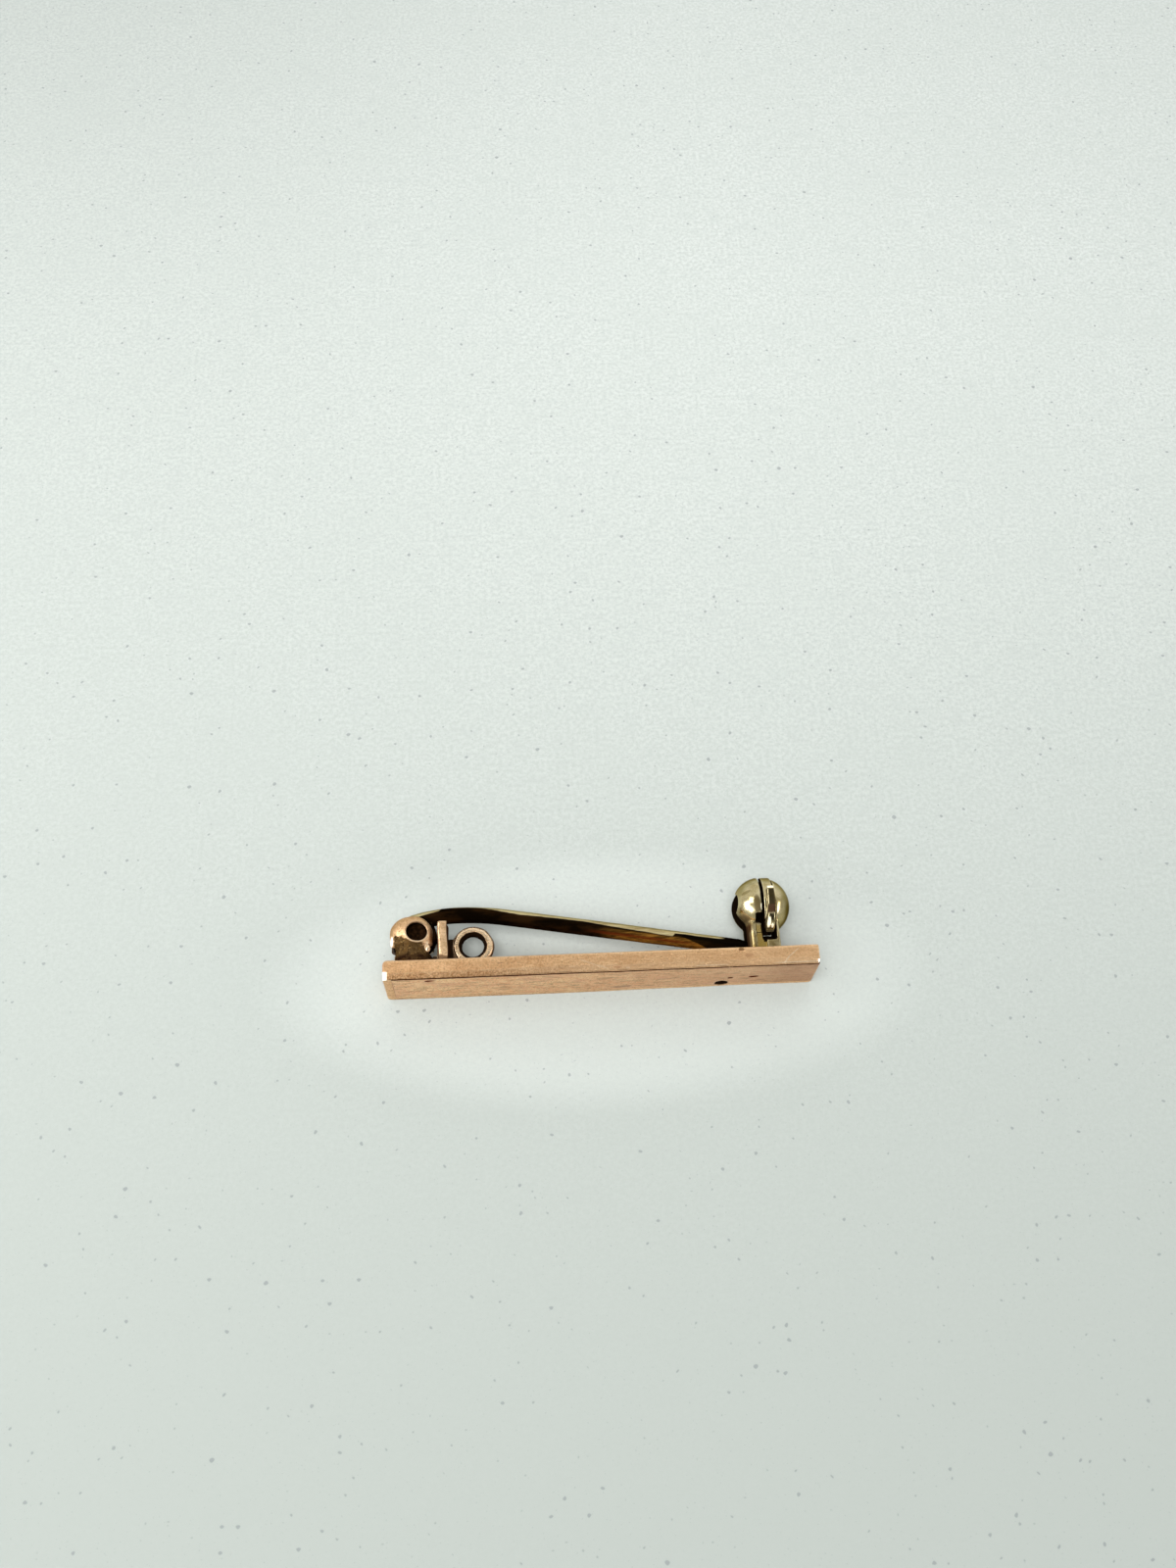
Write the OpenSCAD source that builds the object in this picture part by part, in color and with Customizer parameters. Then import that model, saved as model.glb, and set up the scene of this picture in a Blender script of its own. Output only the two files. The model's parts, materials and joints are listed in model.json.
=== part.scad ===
// Bar brooch lying on one long edge, with its pin fittings behind it.
// X runs along the bar, Y from the front face to the fittings, Z up across the bar's width.
// The origin is the middle of the long edge that the brooch rests on.

/* [Bar] */
// Length of the bar
bar_l = 30; // [26:0.5:45]
// Width of the bar, which stands upright here
bar_w = 4.2; // [4.2:0.1:7]
// Depth of the bar from its front face to its back
bar_t = 1.4; // [1.2:0.1:2.4]
// Thickness of the tray's long walls, seen as a thin rim at the front
wall_t = 0.3; // [0.2:0.05:0.6]
// Thickness of the tray's back sheet
back_t = 0.4; // [0.3:0.05:0.6]
// Thickness of the tray's closed left end
end_wall = 0.6; // [0.4:0.05:1.2]
// Width of the ledge that carries the front plate
ledge_w = 0.35; // [0.2:0.05:0.6]
// Solid length of the tray under the plate at its open right end
end_block = 0.9; // [0.5:0.1:2]
// Thickness of the front plate
plate_t = 0.45; // [0.3:0.05:0.6]
// Open seam between the plate and the tray
seam = 0.1; // [0.05:0.01:0.15]
// Rounding of the bar's long edges
edge_r = 0.2; // [0.1:0.05:0.3]
// Rounding of the bar's corners, seen from the front
corner_r = 0.35; // [0.1:0.05:1]

/* [Ball joint] */
// Diameter of the slotted ball
joint_d = 3; // [2.8:0.1:3.6]
// Distance of the ball's centre from the bar's left end
joint_inset = 1.94; // [1.8:0.02:3]
// Height of the rivet and of the ball's centre over the bar's back
joint_h = 2.3; // [2.1:0.05:3]
// Diameter of the ball's foot
joint_foot_d = 2.5; // [1.8:0.1:2.6]
// Diameter of the rivet
rivet_d = 1.4; // [0.8:0.05:1.5]
// How far the rivet sits from the ball's centre, toward the catch
rivet_dx = 0.3; // [0:0.05:0.4]
// How far each end of the rivet lies below the ball's skin
rivet_recess = 0.35; // [0.1:0.05:0.5]

/* [Pin] */
// Diameter of the pin's wire
pin_d = 1.15; // [0.7:0.05:1.2]
// Diameter of the shaft where its point begins
shaft_end_d = 1; // [0.5:0.05:1.1]
// Diameter of the blunt tip
tip_d = 0.25; // [0.1:0.05:0.4]
// Length of the sharpened point
point_l = 2.1; // [1:0.1:4]
// Length over which the shaft thins before the point
taper_l = 9; // [3:0.5:12]
// Outer diameter of the eye around the rivet
eye_d = 2.66; // [2.4:0.02:2.7]
// Thickness of the eye
eye_t = 1.05; // [0.6:0.05:1.1]
// Height of the arch's axis over the rivet's axis
arch_h = 1.56; // [1.4:0.02:2]
// Distance from the rivet to the top of the arch
arch_x = 2.86; // [2.4:0.02:4]
// Bend radius between the eye and the top of the arch
root_bend = 11; // [9:0.5:16]
// Bend radius between the top of the arch and the straight shaft
arch_bend = 19.7; // [14:0.1:26]
// How far the root of the wire runs past the rivet
root_over = 0.25; // [0.1:0.05:0.5]
// Height of the tip's axis over the bar's back, as the pin hangs open
tip_h = 0.28; // [0.24:0.02:0.6]

/* [Stop plate] */
// Thickness of the upright plate that stops the pin
stop_t = 0.68; // [0.4:0.02:0.8]
// Width of the stop plate across the bar
stop_w = 2.4; // [1.2:0.1:3]
// Distance of the stop plate from the rivet
stop_x = 1.79; // [1.79:0.01:2.1]
// Rounding of the stop plate's corners
stop_r = 0.25; // [0.1:0.05:0.4]

/* [Chain ring] */
// Outer diameter of the ring for a safety chain
ring_od = 2.8; // [2:0.1:3.2]
// Width of the ring's wire, seen from above
ring_wire = 0.7; // [0.4:0.05:0.8]
// Height of the ring along its hole
ring_h = 0.7; // [0.5:0.05:1]
// Distance of the ring from the rivet
ring_x = 3.89; // [3.8:0.05:5]
// How deep the solder joint takes the ring and the stop plate into the bar's back
solder = 0.03; // [0.02:0.01:0.1]

/* [Ball catch] */
// Diameter of the catch's ball
ball_d = 4.18; // [3.8:0.02:4.2]
// Distance of the ball's centre from the bar's right end
catch_inset = 3.4; // [3:0.1:6]
// Height of the ball's centre over the bar's back
catch_h = 3.67; // [3.4:0.02:4.2]
// Wall of the hollow left cup
cup_t = 0.45; // [0.35:0.05:0.6]
// Diameter of the round mouth in the left cup
mouth_d = 1.5; // [1.2:0.05:1.8]
// How far the mouth lies above the middle of the ball
mouth_dz = 0.45; // [0.3:0.05:0.5]
// Width of the rotor's slot through the ball
slot_w = 0.9; // [0.7:0.05:1]
// How far the slot lies right of the ball's centre
slot_dx = 0.33; // [0.25:0.01:0.4]
// Height of the slot's floor over the bar's back
slot_floor = 0.8; // [0.6:0.05:1]
// Length of the foot along the bar
foot_l = 2.6; // [2.4:0.1:3]
// Width of the foot across the bar
foot_w = 2.4; // [2.2:0.1:2.8]
// Rounding of the foot's left corners
foot_r = 0.5; // [0.2:0.05:0.55]
// Width of the window beside the slot
window_w = 0.65; // [0.4:0.05:0.8]
// Depth of the hollow below the window
hollow_t = 0.3; // [0.1:0.05:0.35]

/* [Rotor] */
// Thickness of the rotor
rotor_t = 0.68; // [0.66:0.01:0.7]
// Diameter of the rotor's disc
rotor_d = 4.1; // [3.7:0.02:4.1]
// Depth of the groove that takes the pin's tip
groove_t = 0.42; // [0.36:0.02:0.44]
// Width of that groove
groove_w = 0.9; // [0.7:0.05:1.1]
// Diameter of the pivot that turns in the right cup
pivot_d = 1; // [0.6:0.05:1.2]
// Length of that pivot
pivot_l = 0.6; // [0.4:0.05:0.8]
// How deep the thumb tab is rooted in the disc's rim
tab_root = 0.15; // [0.1:0.05:0.3]
// Height of the thumb tab over the disc's rim
tab_h = 0.45; // [0.3:0.05:0.6]
// Extra height of the tab's flared end
flare_h = 0.2; // [0.1:0.05:0.3]
// Thickness of the thumb tab
tab_t = 0.64; // [0.4:0.02:0.66]
// Thickness of the tab's flared end
flare_t = 0.58; // [0.3:0.02:0.6]
// Angle that the flared end covers
flare_deg = 12; // [6:1:20]
// Angle of the tab's upper end past upright, toward the back
tab_up = 15; // [5:1:20]
// Angle of the tab's flared end past upright, toward the bar
tab_down = 58; // [45:1:60]

/* [Clearances] */
// Gap round the rivet's ends in the ball
rivet_gap = 0.02; // [0.01:0.01:0.05]
// Gap of each turning fit, on the radius
turn_gap = 0.05; // [0.02:0.01:0.08]
// Gap beside and under a piece that swings in a slot
swing_gap = 0.1; // [0.06:0.01:0.12]
// Gap ahead of the pin's tip inside the rotor
tip_gap = 0.1; // [0.06:0.01:0.12]

/* [Hidden] */
$fn = 96;

rose_gold = [0.84, 0.62, 0.44];
plate_gold = [0.79, 0.56, 0.43];
yellow_gold = [0.72, 0.64, 0.36];
dark_steel = [0.16, 0.13, 0.12];

// room that a cut takes past the surface it cuts through
past = 1;
back_y = bar_t / 2;
front_y = -bar_t / 2;
mid_z = bar_w / 2;

// the slotted ball, its rivet and the pin's eye
joint_x = -bar_l / 2 + joint_inset;
rivet_x = joint_x + rivet_dx;
rivet_y = back_y + joint_h;
eye_slot = max(eye_t, pin_d) + 2 * swing_gap;
rivet_end_z = sqrt(pow(joint_d / 2, 2) - pow(rivet_d / 2, 2)) - rivet_recess;

// the catch's ball, the slot for the rotor and the rotor's left face
catch_x = bar_l / 2 - catch_inset;
catch_y = back_y + catch_h;
slot_x0 = catch_x + slot_dx - slot_w / 2;
slot_x1 = slot_x0 + slot_w;
rotor_x = catch_x + slot_dx - rotor_t / 2;
pin_slot = pin_d + swing_gap;

// the pin reaches as far as the groove's floor lets it when it swings level with the rivet
pin_reach = rotor_x + groove_t - tip_gap - rivet_x;
tip_y = back_y + tip_h;
tip_x = rivet_x + sqrt(pow(pin_reach, 2) - pow(rivet_y - tip_y, 2));

// top of the arch, and the straight shaft that leaves the arch as a tangent
top_x = rivet_x + arch_x;
top_y = rivet_y + arch_h;
bend_y = top_y - arch_bend;
tip_r = norm([tip_x - top_x, tip_y - bend_y]);
leave = atan2(tip_y - bend_y, tip_x - top_x) + acos(arch_bend / tip_r);
drop = 90 - leave;
shaft_l = sqrt(pow(tip_r, 2) - pow(arch_bend, 2));
root_sweep = asin((arch_x + root_over) / root_bend);
root_y = top_y - root_bend * (1 - cos(root_sweep));

// the wire's stretches overlap by lap, the outer two drawn thinner on the radius by draw
lap = 0.3;
draw = 0.01;

// the stop plate reaches up to just under the wire
stop_mid = rivet_x + stop_x;
stop_left = stop_mid - stop_t / 2;
wire_y = top_y - root_bend + sqrt(pow(root_bend, 2) - pow(top_x - stop_left, 2));
stop_top = wire_y - pin_d / 2 - swing_gap;

ring_r = ring_od / 2;
ring_mid = rivet_x + ring_x;

// a block between two corners
module block(low, high) {
    translate(low)
        cube(high - low);
}

// a block along Z whose corners are rounded as seen from above
module round_block(low, high, r_left, r_right) {
    h = high[2] - low[2];
    for (side = [0, 1]) {
        r = side == 0 ? r_left : r_right;
        x = side == 0 ? low[0] + r : high[0] - r;
        for (y = [low[1] + r, high[1] - r])
            translate([x, y, low[2]])
                cylinder(r = r, h = h);
        block([x - r, low[1] + r, low[2]], [x + r, high[1] - r, high[2]]);
    }
    block([low[0] + r_left, low[1], low[2]], [high[0] - r_right, high[1], high[2]]);
}

// the bar's whole envelope: rounded long edges, and corners rounded in the front view
module bar_envelope() {
    intersection() {
        translate([-bar_l / 2, 0, 0])
            rotate([90, 0, 90])
                round_block([front_y, 0, 0], [back_y, bar_w, bar_l], edge_r, edge_r);
        translate([0, back_y, 0])
            rotate([90, 0, 0])
                round_block([-bar_l / 2, 0, 0], [bar_l / 2, bar_w, bar_t], corner_r, corner_r);
    }
}

// seat of the front plate and the hollow behind it
module tray_pocket() {
    seat_y = front_y + plate_t;
    block([-bar_l / 2 + end_wall, front_y - past, wall_t],
          [bar_l / 2 + past, seat_y, bar_w - wall_t]);
    block([-bar_l / 2 + end_wall + ledge_w, seat_y - past, wall_t + ledge_w],
          [bar_l / 2 - end_block, back_y - back_t, bar_w - wall_t - ledge_w]);
}

// slotted ball on its foot, drilled for the rivet
module ball_joint() {
    slot_y = rivet_y - eye_d / 2 - swing_gap;
    difference() {
        union() {
            translate([joint_x, rivet_y, mid_z])
                sphere(d = joint_d);
            translate([joint_x, rivet_y, mid_z])
                rotate([90, 0, 0])
                    cylinder(d = joint_foot_d, h = joint_h + solder);
        }
        block([joint_x - joint_d, slot_y, mid_z - eye_slot / 2],
              [joint_x + joint_d, rivet_y + joint_d, mid_z + eye_slot / 2]);
        translate([rivet_x, rivet_y, mid_z - joint_d])
            cylinder(r = rivet_d / 2 + rivet_gap, h = 2 * joint_d);
    }
}

// upright plate that keeps the pin off the bar
module stop_plate() {
    translate([stop_left, 0, 0])
        rotate([90, 0, 90])
            round_block([back_y - solder, mid_z - stop_w / 2, 0],
                        [stop_top, mid_z + stop_w / 2, stop_t], stop_r, stop_r);
}

// ring with a straight inner wall and rounded outer edges
module chain_ring() {
    in_r = ring_r - ring_wire;
    round_r = min(ring_wire, ring_h) / 3;
    translate([ring_mid, back_y + ring_r - solder, mid_z])
        rotate_extrude() {
            translate([ring_r - round_r, ring_h / 2 - round_r])
                circle(r = round_r);
            translate([ring_r - round_r, -ring_h / 2 + round_r])
                circle(r = round_r);
            translate([in_r, -ring_h / 2])
                square([ring_wire - round_r, ring_h]);
            translate([in_r, -ring_h / 2 + round_r])
                square([ring_wire, ring_h - 2 * round_r]);
        }
}

// folded tray with the fittings that are soldered to its back
module back_tray() {
    color(rose_gold)
        union() {
            difference() {
                bar_envelope();
                tray_pocket();
            }
            ball_joint();
            stop_plate();
            chain_ring();
        }
}

// plate let into the tray, open to the bar's right end
module front_plate() {
    color(plate_gold)
        intersection() {
            bar_envelope();
            block([-bar_l / 2 + end_wall + seam, front_y, wall_t + seam],
                  [bar_l / 2, front_y + plate_t, bar_w - wall_t - seam]);
        }
}

// rivet across the slotted ball
module hinge_rivet() {
    color(dark_steel)
        translate([rivet_x, rivet_y, mid_z - rivet_end_z])
            cylinder(d = rivet_d, h = 2 * rivet_end_z);
}

// wire bent about an axis along Z, from one angle on
module bent_wire(centre, bend, from_deg, sweep, d) {
    translate([centre[0], centre[1], mid_z])
        rotate([0, 0, from_deg])
            rotate_extrude(angle = sweep)
                translate([bend, 0])
                    circle(d = d);
}

// straight shaft, turned to a point, that starts inside the end of the arch
module shaft() {
    taper_from = shaft_l - taper_l - point_l;
    point_from = shaft_l - point_l;
    translate([top_x + arch_bend * cos(leave), bend_y + arch_bend * sin(leave), mid_z])
        rotate([0, 0, -drop])
            rotate([0, 90, 0])
                rotate_extrude()
                    polygon([
                        [0, -lap],
                        [pin_d / 2 - draw, -lap],
                        [pin_d / 2 - draw, taper_from],
                        [shaft_end_d / 2, point_from],
                        [tip_d / 2, shaft_l],
                        [0, shaft_l]
                    ]);
}

// arched pin with a flat eye at one end and a point at the other
module pin_stem() {
    lap_deg = lap / root_bend * 180 / PI;
    color(yellow_gold)
        difference() {
            union() {
                translate([rivet_x, rivet_y, mid_z - eye_t / 2])
                    cylinder(d = eye_d, h = eye_t);
                bent_wire([top_x, top_y - root_bend], root_bend, 90 - lap_deg, root_sweep + lap_deg,
                          pin_d - 2 * draw);
                bent_wire([top_x, bend_y], arch_bend, leave, drop, pin_d);
                shaft();
                // rounded root of the wire
                translate([rivet_x - root_over, root_y, mid_z])
                    sphere(d = pin_d - 4 * draw);
            }
            translate([rivet_x, rivet_y, mid_z - pin_d])
                cylinder(r = rivet_d / 2 + turn_gap, h = 2 * pin_d);
        }
}

// ball with a hollow left cup, on a foot that the pin's point can lie in
module catch_shell() {
    ball_r = ball_d / 2;
    foot_top = catch_y - ball_r / 2;
    near_z = mid_z + foot_w / 2;
    window_y = back_y + 1.75 * slot_floor;
    color(yellow_gold)
        difference() {
            union() {
                translate([catch_x, catch_y, mid_z])
                    sphere(d = ball_d);
                translate([0, back_y, 0])
                    rotate([-90, 0, 0])
                        round_block([catch_x - foot_l / 2, -near_z, 0],
                                    [catch_x + foot_l / 2, -near_z + foot_w, foot_top - back_y],
                                    foot_r, edge_r);
            }
            // hollow of the left cup
            intersection() {
                translate([catch_x, catch_y, mid_z])
                    sphere(r = ball_r - cup_t);
                block([catch_x - ball_r, catch_y - ball_r, 0],
                      [slot_x0 + slot_w / 2, catch_y + ball_r, bar_w]);
            }
            // slot that the rotor turns in
            block([slot_x0, back_y + slot_floor, -past], [slot_x1, catch_y + ball_r + past, bar_w + past]);
            // way for the pin through the left cup, and for its point in the foot
            block([catch_x - ball_d, back_y - past, mid_z - pin_slot / 2],
                  [slot_x0 + past / 4, catch_y + ball_d, mid_z + pin_slot / 2]);
            block([catch_x - ball_d, back_y - past, mid_z - pin_slot / 2],
                  [tip_x + 2 * swing_gap, back_y + slot_floor + past, mid_z + pin_slot / 2]);
            // round mouth
            translate([catch_x - ball_d, catch_y, mid_z + mouth_dz])
                rotate([0, 90, 0])
                    cylinder(d = mouth_d, h = ball_d - ball_r / 2);
            // window beside the slot, and the shallow hollow below it
            block([slot_x0 - window_w, window_y, mid_z + 0.4 * ball_r],
                  [slot_x0 + past / 4, catch_y - ball_r / 2, bar_w + past]);
            block([slot_x0 - window_w, back_y + 0.3 * slot_floor, near_z - hollow_t],
                  [slot_x0 + past / 4, window_y + past / 4, bar_w + past]);
            // bearing of the rotor's pivot
            translate([slot_x1 - past / 4, catch_y, mid_z])
                rotate([0, 90, 0])
                    cylinder(r = pivot_d / 2 + turn_gap, h = pivot_l + swing_gap + past / 4);
        }
}

// sector of a ring about the rotor's axis, from one angle to another, both from upright
module rim_sector(r0, r1, t, low_deg, high_deg) {
    translate([(rotor_t - t) / 2, 0, 0])
        rotate([0, 90, 0])
            rotate([0, 0, 180 - high_deg])
                rotate_extrude(angle = high_deg - low_deg)
                    translate([r0, 0])
                        square([r1 - r0, t]);
}

// grooved disc with a pivot on its right and a thumb tab on its rim
module catch_rotor() {
    rim_r = rotor_d / 2;
    color(yellow_gold)
        translate([rotor_x, catch_y, mid_z])
            union() {
                difference() {
                    rotate([0, 90, 0])
                        cylinder(d = rotor_d, h = rotor_t);
                    block([-past, -rotor_d, -groove_w / 2], [groove_t, rotor_d, groove_w / 2]);
                }
                translate([groove_t, 0, 0])
                    rotate([0, 90, 0])
                        cylinder(d = pivot_d, h = rotor_t - groove_t + (slot_w - rotor_t) / 2 + pivot_l);
                rim_sector(rim_r - tab_root, rim_r + tab_h, tab_t, -tab_down, tab_up);
                rim_sector(rim_r + tab_h / 2, rim_r + tab_h + flare_h, flare_t,
                           1 - tab_down, flare_deg - tab_down);
            }
}

back_tray();
front_plate();
hinge_rivet();
pin_stem();
catch_shell();
catch_rotor();
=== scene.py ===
import json
import math

import bpy
import numpy as np
from mathutils import Matrix, Vector


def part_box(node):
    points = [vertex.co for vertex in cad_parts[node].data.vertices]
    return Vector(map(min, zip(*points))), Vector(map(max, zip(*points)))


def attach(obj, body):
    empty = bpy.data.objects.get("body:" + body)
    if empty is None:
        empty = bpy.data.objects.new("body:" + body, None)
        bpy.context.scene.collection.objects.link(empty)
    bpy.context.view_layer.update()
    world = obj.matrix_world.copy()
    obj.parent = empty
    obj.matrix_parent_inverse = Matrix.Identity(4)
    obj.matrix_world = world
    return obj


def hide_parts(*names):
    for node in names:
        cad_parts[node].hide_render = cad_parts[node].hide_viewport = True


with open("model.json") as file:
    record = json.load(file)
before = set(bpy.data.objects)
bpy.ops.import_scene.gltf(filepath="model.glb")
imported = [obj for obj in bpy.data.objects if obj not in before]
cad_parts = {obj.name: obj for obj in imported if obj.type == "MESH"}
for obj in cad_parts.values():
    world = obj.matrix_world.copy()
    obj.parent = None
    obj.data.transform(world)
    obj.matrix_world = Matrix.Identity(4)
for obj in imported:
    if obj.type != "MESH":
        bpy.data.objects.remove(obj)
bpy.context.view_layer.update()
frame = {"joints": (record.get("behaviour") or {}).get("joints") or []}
scene = bpy.context.scene

# Gold bar brooch lying on one long edge, its pin resting in the open catch behind it.
# Every piece is a closed form given by its distance to the skin, in millimetres, in the frame's own
# axes: X along the bar, Y from the front face to the fittings, Z up. The skin is then netted and
# settled into a mesh in metres.

MM = 0.001


# Sizes and places, in millimetres

def node_box(name):
    """Lowest and highest corner of a node at rest."""
    low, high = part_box(name)
    return np.array(low) / MM, np.array(high) / MM


def axis_place(name):
    """A point on a joint's axis."""
    joint = next(j for j in frame["joints"] if j["name"] == name)
    return np.array(joint["pos_m"]) / MM


tray_low, tray_high = node_box("back_tray")
plate_low, plate_high = node_box("front_plate")
rivet_low, rivet_high = node_box("hinge_rivet")
rivet_at = axis_place("pin_hinge")
rotor_at = axis_place("rotor_turn")

bar_x0, bar_x1 = tray_low[0], tray_high[0]
front_y = tray_low[1]
back_y = -front_y
bar_w = tray_high[2]
mid_z = bar_w / 2

seam = 0.1
wall_t = plate_low[2] - seam
plate_top = bar_w - 0.23
seat_y = plate_high[1]
ledge_w = 0.35
back_t = 0.4
end_block = 0.9
edge_r = 0.2
front_edge_r = 0.06
lip_t = 0.12
face_belly = 0.09
corner_r = 0.12
low_corner_r = 0.4
end_r = 0.05
back_left_r = 0.4
back_right_r = 0.2
face_slack = 0.012
# cuts run this far past a piece
far = 5

joint_r = 1.52
joint_wide = 1.13
joint_at = rivet_at - [0.41, 0, 0]
joint_side_r = 1.5
joint_foot_r = 1.3
joint_step_y = 2.05
joint_slot = 1.35
rivet_r = 0.7
rivet_hole_r = 0.72
eye_r = 1.33
eye_t = 1.05
eye_bore_r = 0.75
swing_gap = 0.1

pin_r = 0.575
shaft_end_r = 0.55
tip_r = 0.125
point_l = 2.1
taper_l = 9
root_bend = 11
arch_bend = 19.7
arch_top = rivet_at + [2.86, 1.56, 0]
root_over = 0.25
tip_at = np.array([rotor_at[0] - 0.09, back_y + 0.36, mid_z])

stop_t = 0.68
stop_w = 2.4
stop_x = rivet_at[0] + 1.79
stop_top = 3.78

ring_r = 1.48
ring_wire = 0.72
ring_h = 0.7
ring_at = np.array([rivet_at[0] + 3.85, back_y + ring_r - 0.03, mid_z])

ball_r = 2.09
ball_at = rotor_at - [0.33, 0, 0]
cup_t = 0.45
mouth_r = 0.68
mouth_dy = 0.08
mouth_dz = 0.45
slot_x0 = rotor_at[0] - 0.53
slot_x1 = rotor_at[0] + 0.45
slot_floor = back_y + 0.8
pin_way = 1.25
foot_x0 = ball_at[0] - 1.3
foot_x1 = ball_at[0] + 1.0
foot_w = 2.4
web_y1 = back_y + 2.4
web_z1 = mid_z - 0.63
window_w = 0.44
window_y0 = back_y + 1.4
window_y1 = ball_at[1] - ball_r / 2

rotor_r = 2.05
rotor_t = 0.68
groove_t = 0.42
groove_w = 0.9
pivot_r = 0.5
pivot_half = 0.485
flare_r = 2.68
tab_up = math.radians(16)
tab_down = math.radians(66)


# Distance to simple forms, and ways to put them together

def meet(a, b, soft=0.0):
    """Both forms at once, with the edge between them rounded."""
    a = a + soft
    b = b + soft
    return np.minimum(np.maximum(a, b), 0) + np.hypot(np.maximum(a, 0), np.maximum(b, 0)) - soft


def cut(a, b, soft=0.0):
    """The first form without the second, with a rounded lip."""
    return meet(a, -b, soft)


def join(a, b, soft=0.0):
    """Both forms as one, with a fillet where they meet."""
    return -meet(-a, -b, soft)


def block(p, low, high, soft=0.0):
    low, high = np.array([low, high], float)
    q = np.abs(p - (low + high) / 2) - (high - low) / 2 + soft
    return np.linalg.norm(np.maximum(q, 0), axis=-1) + np.minimum(q.max(axis=-1), 0) - soft


def level_block(p, x, y, half, soft=0.0):
    """A block between two X and two Y, reaching as far above the middle of the bar as below it."""
    return block(p, [x[0], y[0], mid_z - half], [x[1], y[1], mid_z + half], soft)


def ball(p, centre, r):
    return np.linalg.norm(p - centre, axis=-1) - r


def around(p, centre, axis):
    """Distance along an axis through a centre, and distance from that axis."""
    q = p - centre
    others = [i for i in range(3) if i != axis]
    return q[..., axis], np.hypot(q[..., others[0]], q[..., others[1]])


def rod(p, centre, axis, half, r, soft=0.0):
    """A round rod with softened ends."""
    along, out = around(p, centre, axis)
    return meet(np.abs(along) - half, out - r, soft)


def side(p, point, normal):
    """A half space whose skin passes through a point."""
    normal = np.asarray(normal, float)
    return (p - point) @ (normal / np.linalg.norm(normal))


WAVES = 6
WAVES_PEAK = 3.4


def wave(p, length, seed):
    """Smooth unevenness between about -1 and 1, with bumps about one length apart."""
    draw = np.random.default_rng(seed)
    ways = draw.normal(size=(WAVES, 3))
    ways *= 2 * math.pi / length / np.linalg.norm(ways, axis=1, keepdims=True)
    lags = draw.uniform(0, 2 * math.pi, WAVES)
    return np.sin(p @ ways.T + lags).sum(axis=-1) / WAVES_PEAK


def worn(d, depth, p, length, seed):
    """A form worn unevenly, by up to about twice a depth."""
    return d + depth + depth * wave(p, length, seed)


def add_lump(d, lump, rough, p, length, seed, soft):
    """A form with an uneven lump joined on."""
    return join(d, lump + rough * wave(p, length, seed), soft)


# The forms of the pieces

def bar_envelope(p):
    """The bar's whole outside: long edges and corners rounded, two corners worn flat."""
    bar_mid = (bar_x0 + bar_x1) / 2
    half = np.array([bar_x1 - bar_mid, back_y, bar_w / 2])
    q = np.abs(p - [bar_mid, 0, mid_z]) - half
    front = p[..., 1] < 0
    belly = face_belly * np.clip(1 - p[..., 2] / bar_w, 0, 1) * np.clip((9 - p[..., 0]) / 11, 0, 1)
    q[..., 1] -= np.where(front, belly, 0)
    across = meet(q[..., 1], q[..., 2], np.where(front, front_edge_r, edge_r))
    upper = meet(q[..., 0], q[..., 2], corner_r)
    lower = meet(q[..., 0], q[..., 2], low_corner_r)
    d = meet(across, np.where(p[..., 2] > mid_z, upper, lower), end_r)
    behind = np.where(front, end_r, np.where(p[..., 0] < bar_mid, back_left_r, back_right_r))
    d = np.maximum(d, meet(q[..., 0], q[..., 1], behind))
    d = meet(d, side(p, [bar_x0 + 0.1, front_y + 0.15, bar_w - 0.07], [-0.47, -0.27, 0.84]), 0.04)
    d = meet(d, side(p, [bar_x1 - 0.07, front_y + 0.12, bar_w - 0.07], [0.6, -0.35, 0.7]), 0.04)
    return worn(d, 0.008, p * [0.35, 1, 1], 1.7, 11)


def tray_form(p):
    """Folded tray: seat for the face plate, the hollow behind it, and a smear across the seam."""
    left = plate_low[0] - seam
    seat = block(p, [left, -far, wall_t], [bar_x1 + far, seat_y, bar_w - lip_t], 0.005)
    hollow = level_block(p, (left + ledge_w, bar_x1 - end_block), (-far, back_y - back_t),
                         mid_z - wall_t - ledge_w, 0.05)
    d = cut(bar_envelope(p), seat, 0.02)
    smear = ball(p, [SMEAR_X, front_y + 0.1, plate_top + 0.04], 0.12)
    d = cut(join(d, smear, 0.03), hollow, 0.03)
    return cut(d, nick(p, *FACE_NICKS[0]), 0.02)


def nick(p, at, size):
    """A shallow nick in the bar's face: distance from its middle, worked with its three half sizes."""
    q = (p - [at[0], front_y, at[1]]) / size
    return (np.linalg.norm(q, axis=-1) - 1) * min(size)


def face_form(p):
    """Plate let into the tray, with the nicks of its face."""
    grow = seam - 0.005
    low = [plate_low[0] - grow, -far, plate_low[2] - grow]
    plate = block(p, low, [bar_x1 + far, seat_y, plate_top], 0.005)
    d = meet(plate, bar_envelope(p) + face_slack, 0.02)
    for at, size in FACE_NICKS:
        d = cut(d, nick(p, at, size), 0.02)
    return d


# middle (X, Z) and half sizes of the nicks in the face
FACE_NICKS = [
    ((8.5, 0.6), (0.47, 0.12, 0.48)),
    ((9.03, 1.64), (0.2, 0.05, 0.14)),
    ((10.66, 1.72), (0.33, 0.06, 0.17)),
    ((-11.84, 3.50), (0.34, 0.06, 0.13)),
]
SMEAR_X = 8.8


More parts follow.
